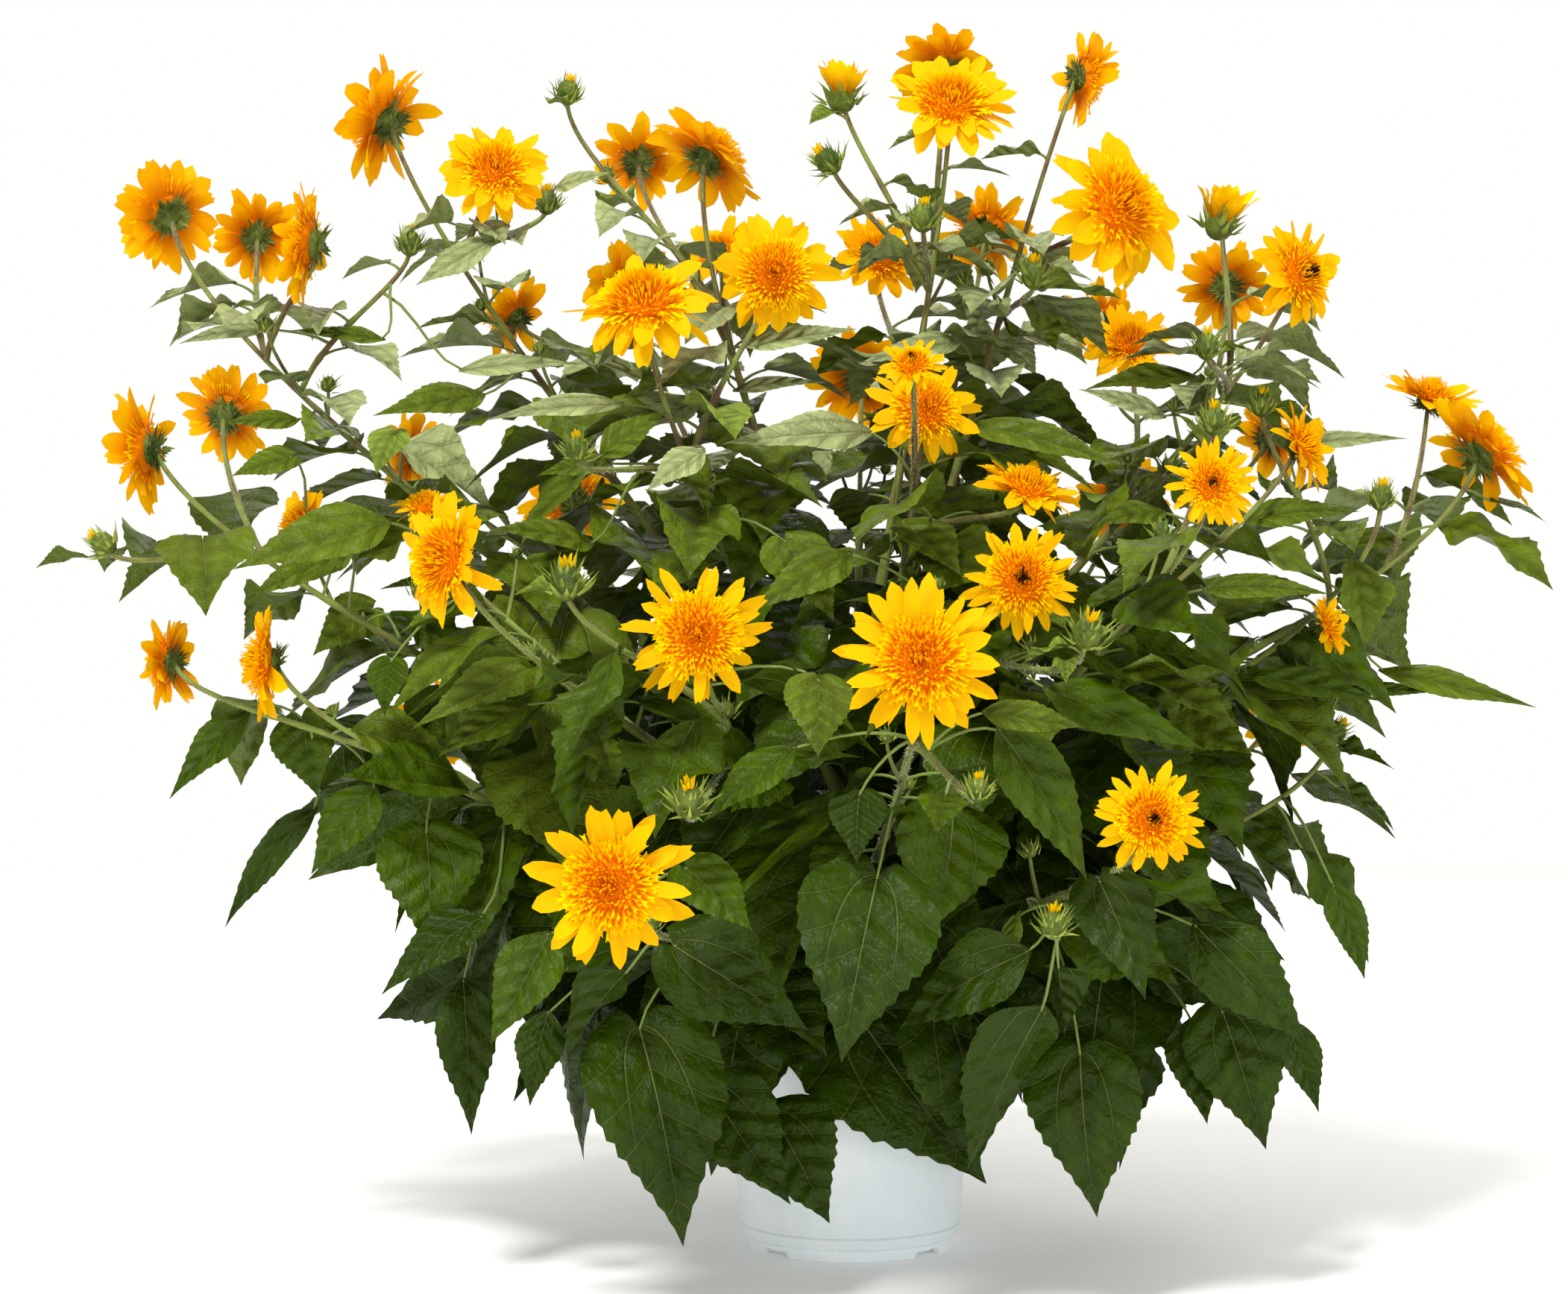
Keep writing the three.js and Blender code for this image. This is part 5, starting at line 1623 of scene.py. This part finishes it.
petals, notched_petals, young_petals = [], [], []
florets, floret_maps, dark_florets, bracts, bud_bracts = [], [], [], [], []
petal, notched_petal, floret, bract = petal_shape(False), petal_shape(True), floret_shape(), bract_shape()
blooms = [head for head in heads if head.across > HALF_OPEN_ACROSS]
half_open = [head for head in heads if BUD_ACROSS < head.across <= HALF_OPEN_ACROSS]
for n, head in enumerate(blooms):
    radius = head.across / 2
    broad = lerp(*PETAL_BREADTHS, chance(n, 32))
    if head.facing[1] > -0.5 or head.place[2] > 0.75:  # the older flowers
        broad *= OLDER_BREADTH
    elif head.dark:
        broad *= DARK_BREADTH
    for whorl, count in enumerate(PETALS):
        count += round(2 * (chance(n, whorl, 30) - 0.5) * 2)
        a, b, c, d, e, f = luck_of(1000 + n * 2 + whorl, count, 1, 2, 3, 4, 5, 6)
        turns = (np.arange(count) + 0.5 * whorl + (a - 0.5) * 0.5) / count * math.tau
        place = rays(head, turns, np.full(count, 0.22), np.full(count, 0.02 + 0.05 * whorl))
        hangs = place[1][:, 2] < -0.4
        reach = (0.84 - 0.08 * whorl) * lerp(0.80, 1.04, b)
        size = radius * reach, radius * broad * lerp(0.23, 0.33, c)
        cup = lerp(-6, 20, chance(n, 31)) + whorl * 7 + (d - 0.5) * 30 - 8 * hangs
        bends = cup, lerp(-10, 40, e) + 10 * hangs, (f - 0.5) * 0.9
        curls = {"fold": lerp(0.0, 0.4, a), "wave": 0.05 * b, "phase": c * 6}
        curls |= {"sweep": (d - 0.5) * 0.3, "twist": (a - 0.5) * 0.8}
        cut = f > 0.75
        petals.append(blades(petal, *place, *size, *bends, **curls)[~cut])
        notched_petals.append(blades(notched_petal, *place, *size, *bends, **curls)[cut])
    order = (np.arange(FLORETS) + 0.5) / FLORETS
    ring = np.sqrt(order)
    a, b, c, d = luck_of(2000 + n, FLORETS, 1, 2, 3, 4)
    dome_rise = DOME_SHARE * (1 - ring**2) + 0.03
    place = rays(head, np.arange(FLORETS) * GOLDEN_TURN, ring * DISC_SHARE, dome_rise)
    length = radius * lerp(0.30, 0.22, ring) * lerp(0.8, 1.2, b)
    width = radius * lerp(0.054, 0.085, ring**2) * lerp(0.8, 1.2, c)
    pitch = lerp(112, 24, ring**1.2) + (a - 0.5) * 24
    droop = lerp(-14, 34, ring) + (d - 0.5) * 30
    placed = blades(floret, *place, length, width, pitch, droop, (c - 0.5) * 1.6)
    dark = (ring < DARK_SHARE) & head.dark
    florets.append(placed[~dark])
    dark_florets.append(placed[dark])
    spread = np.broadcast_to(floret.flat, (FLORETS, *floret.flat.shape)).copy()
    spread[:, :, 0] = ring[:, None]
    floret_maps.append(spread[~dark])
    a, b, c = luck_of(3000 + n, BRACTS, 1, 2, 3)
    turns = (np.arange(BRACTS) + (a - 0.5) * 0.6) / BRACTS * math.tau
    base, radial, axis = rays(head, turns, lerp(0.12, 0.27, c), lerp(-0.16, -0.05, c))
    size = radius * lerp(0.14, 0.26, b), radius * lerp(0.06, 0.10, a)
    bends = lerp(-8, 34, a), lerp(-40, 20, c)
    bracts.append(blades(bract, base, radial, -axis, *size, *bends, fold=0.3))

# A half-open flower is a green cup of bracts with a ruff of petals standing in it.
for n, head in enumerate(half_open):
    radius = head.across / 2
    for whorl, count in enumerate(HALF_OPEN_PETALS):
        a, b, c, d = luck_of(4000 + n * 2 + whorl, count, 1, 2, 3, 4)
        turns = (np.arange(count) + 0.5 * whorl) / count * math.tau
        place = rays(head, turns, np.full(count, 0.42), np.full(count, -0.35))
        size = radius * lerp(1.3, 1.8, a), radius * lerp(0.45, 0.6, b)
        bends = lerp(60, 84, c) + whorl * 6, lerp(-16, 30, d), (a - 0.5) * 0.8
        young_petals.append(blades(petal, *place, *size, *bends, fold=0.3, wave=0.12, phase=b * 6))

# ---------------------------------------------------------------- buds
# A bud is a green knob wrapped in pointed, spreading bracts, with a few yellow petal tips
# showing where it has begun to open. Small ones stand in the axils of the upper leaves.

BUD_BRACTS = 34
AXIL_BRACTS = 16
BUD_PETALS = 9
HALF_OPEN_REACH = 0.62  # of a bud's bracts, those of a half-open flower
AXIL_FROM = 0.45  # of a stalk
AXIL_SHARE = 0.5  # of the nodes above that
AXIL_LENGTH = 0.022, 0.060
AXIL_RADII = 0.0019, 0.0013
AXIL_ACROSS = 0.011, 0.019


def knob_shape(segments, rings):
    bm = bmesh.new()
    bmesh.ops.create_uvsphere(bm, u_segments=segments, v_segments=rings, radius=1)
    shape = Shape(bm)
    shape.flat[:] = shape.points[:, [2, 2]]
    return shape


def knobs(shape, heads, wide, deep, shift):
    """Copies of a round shape on some flowers' axes, in shares of each one's radius."""
    placed = []
    for head in heads:
        first, second, axis = frame_of(head)
        radius = head.across / 2
        x, y, z = (shape.points * [wide, wide, deep]).T[..., None] * radius
        placed.append(head.place + axis * shift * radius + first * x + second * y + axis * z)
    return np.array(placed)


axil_stalks, axil_buds = [], []
for n, stalk in enumerate(leaders + sides):
    for i, t in enumerate(sorted(set(stalk.nodes))):
        if t < AXIL_FROM or chance(900 + n, i) > AXIL_SHARE:
            continue
        foot, along = stalk.at(t), stalk.way(t)
        azimuth = 360 * chance(901 + n, i, 1)
        out = unit(along * 0.9 + heading(azimuth, 10) * 0.8)
        length = lerp(*AXIL_LENGTH, chance(902 + n, i, 2))
        tip = foot + out * length + UP * length * 0.35
        budding = Head(tip, lerp(*AXIL_ACROSS, chance(903 + n, i)), azimuth, 70, BUD_NECK)
        if hides_a_head(tip[None]):
            continue
        axil_buds.append(budding)
        axil_stalks.append(Stalk(foot, foot + out * length * 0.5, tip - UP * length * 0.3, tip))

plump = [head for head in heads if head.across <= BUD_ACROSS]
for n, head in enumerate(plump + half_open + axil_buds):
    radius = head.across / 2
    count = AXIL_BRACTS if head in axil_buds else BUD_BRACTS
    reach = HALF_OPEN_REACH if head in half_open else 1.0
    a, b, c, d = luck_of(5000 + n, count, 1, 2, 3, 4)
    level = np.floor(np.arange(count) * 3 / count) / 2
    turns = np.arange(count) * GOLDEN_TURN
    place = rays(head, turns, lerp(0.75, 0.5, level), lerp(-0.75, -0.1, level))
    size = radius * reach * lerp(0.95, 1.6, a), radius * lerp(0.24, 0.36, b)
    pitch = lerp(38, 72, level) + (c - 0.5) * 30
    droop = lerp(-55, 25, d) * (1 - 0.4 * level)
    bud_bracts.append(blades(bract, *place, *size, pitch, droop, (b - 0.5) * 0.6, fold=0.35))
for n, head in enumerate(plump):
    a, b = luck_of(6000 + n, BUD_PETALS, 1, 2)
    radius = head.across / 2
    tips = np.arange(BUD_PETALS)
    out = 0.35 * np.sqrt(tips / BUD_PETALS)
    place = rays(head, tips * GOLDEN_TURN, out, np.full(BUD_PETALS, 0.35))
    size = radius * lerp(0.7, 1.0, a), radius * 0.3
    young_petals.append(blades(petal, *place, *size, lerp(70, 88, b), 0, fold=0.7))


def bract_green(name, dull, bright):
    relief = 0.4, 0.0005
    satin = {"Roughness": 0.6, "Specular_IOR_Level": 0.2}
    return mottled_skin(name, "Patch", dull, bright, 60.0, 800.0, relief, **satin)


petal_batches = [(petal, np.concatenate(petals)), (notched_petal, np.concatenate(notched_petals))]
ripe_yellow = petal_yellow("ripe_petal", "#FFC800", "#FFA200", "#F8B000", "#E88600")
heap("petals", petal_batches, [ripe_yellow], "petals", *masses)
young_yellow = petal_yellow("young_petal", "#FFE000", "#FFD000", "#FFD400", "#F4B400")
heap("young_petals", [(petal, np.concatenate(young_petals))], [young_yellow], "petals", *masses)
floret_batch = floret, np.concatenate(florets), np.concatenate(floret_maps)
heap("florets", [floret_batch], [floret_orange()], "petals", *masses)
seed_brown = "floret_dark", "Speck", "#160A04", "#3C1D0A", 60.0, 400.0, (0.3, 0.0005)
dark_skin = mottled_skin(*seed_brown, Roughness=0.7, Specular_IOR_Level=0.2)
heap("dark_florets", [(floret, np.concatenate(dark_florets))], [dark_skin], "petals", *masses)
olive_green = bract_green("bract_green", "#3C4A18", "#7A8438")
heap("bracts", [(bract, np.concatenate(bracts))], [olive_green], "foliage", *masses)
bud_green = bract_green("bud_green", "#5F7824", "#A5B04C")
heap("bud_bracts", [(bract, np.concatenate(bud_bracts))], [bud_green], "foliage", *masses)
dome, knob = knob_shape(20, 10), knob_shape(12, 8)
heart_orange = "heart_orange", "Speck", "#F08C00", "#D05C00", 80.0, 900.0, (0.6, 0.0008)
heart_skin = mottled_skin(*heart_orange, Roughness=0.8, Specular_IOR_Level=0.05)
heap("flower_hearts", [(dome, knobs(dome, blooms, 0.38, 0.12, 0.09))], [heart_skin], "petals", *masses)
green_knobs = [
    (dome, knobs(dome, blooms, 0.25, 0.13, -0.03)),
    (knob, knobs(knob, plump, 0.8, 0.95, -0.15)),
    (knob, knobs(knob, half_open, 0.62, 0.6, -0.55)),
    (knob, knobs(knob, axil_buds, 0.7, 0.8, -0.1)),
]
back_green = bract_green("back_green", "#3A4A18", "#66742C")
heap("flower_backs", green_knobs, [back_green], "foliage", *masses)
axil_spans = [(0, 1)] * len(axil_stalks)
axil_batch = laid(thin_tube, axil_stalks, axil_spans, lambda t: lerp(*AXIL_RADII, t))
heap("axil_stalks", [axil_batch], [stalk_skin], "stems", *masses)

# ---------------------------------------------------------------- bristles
# Short, stiff white hairs stand out from the skin of the main stem, the boughs and the flower
# stalks, and catch the light.

BRISTLE_LENGTHS = 0.0014, 0.0032
BRISTLE_WIDTH = 0.00028
BRISTLE_SPACING = 0.0005


def bristles_on(stalks, spans, radius_at, seed):
    """A flat, pointed hair at each place, as three points."""
    rng = np.random.default_rng(seed)
    made = []
    for stalk, (start, stop) in zip(stalks, spans):
        count = int(stalk.length * (stop - start) / BRISTLE_SPACING)
        t = rng.uniform(start, stop, count)
        way = stalk.way(t)
        loose = rng.normal(size=(count, 3))
        out = unit(loose - way * (loose * way).sum(1)[:, None])
        foot = stalk.at(t) + out * (radius_at(t) * 0.95)[:, None]
        aim = unit(out + way * rng.uniform(-0.3, 0.5, count)[:, None])
        width = np.cross(out, way) * BRISTLE_WIDTH / 2
        length = rng.uniform(*BRISTLE_LENGTHS, count)[:, None]
        made.append(np.stack([foot - width, foot + width, foot + aim * length], 1))
    return np.concatenate(made)


bm = bmesh.new()
bmesh.ops.create_circle(bm, cap_ends=True, segments=3, radius=1)
hair = Shape(bm)
hairs = [
    bristles_on([stem], [(0.02, 1)], stem_radius, 1),
    bristles_on(leaders, [(0.05, 0.985)] * len(leaders), bough_radius, 2),
    bristles_on(sides, [(0, 0.98)] * len(sides), side_radius, 3),
]
hair_white = "hair_white", "Patch", "#E4E6CF", "#C6CC9C", 100.0, 900.0
hair_skin = mottled_skin(*hair_white, Roughness=0.5, Specular_IOR_Level=0.3)
heap("bristles", [(hair, np.concatenate(hairs))], [hair_skin], "stems", *masses)
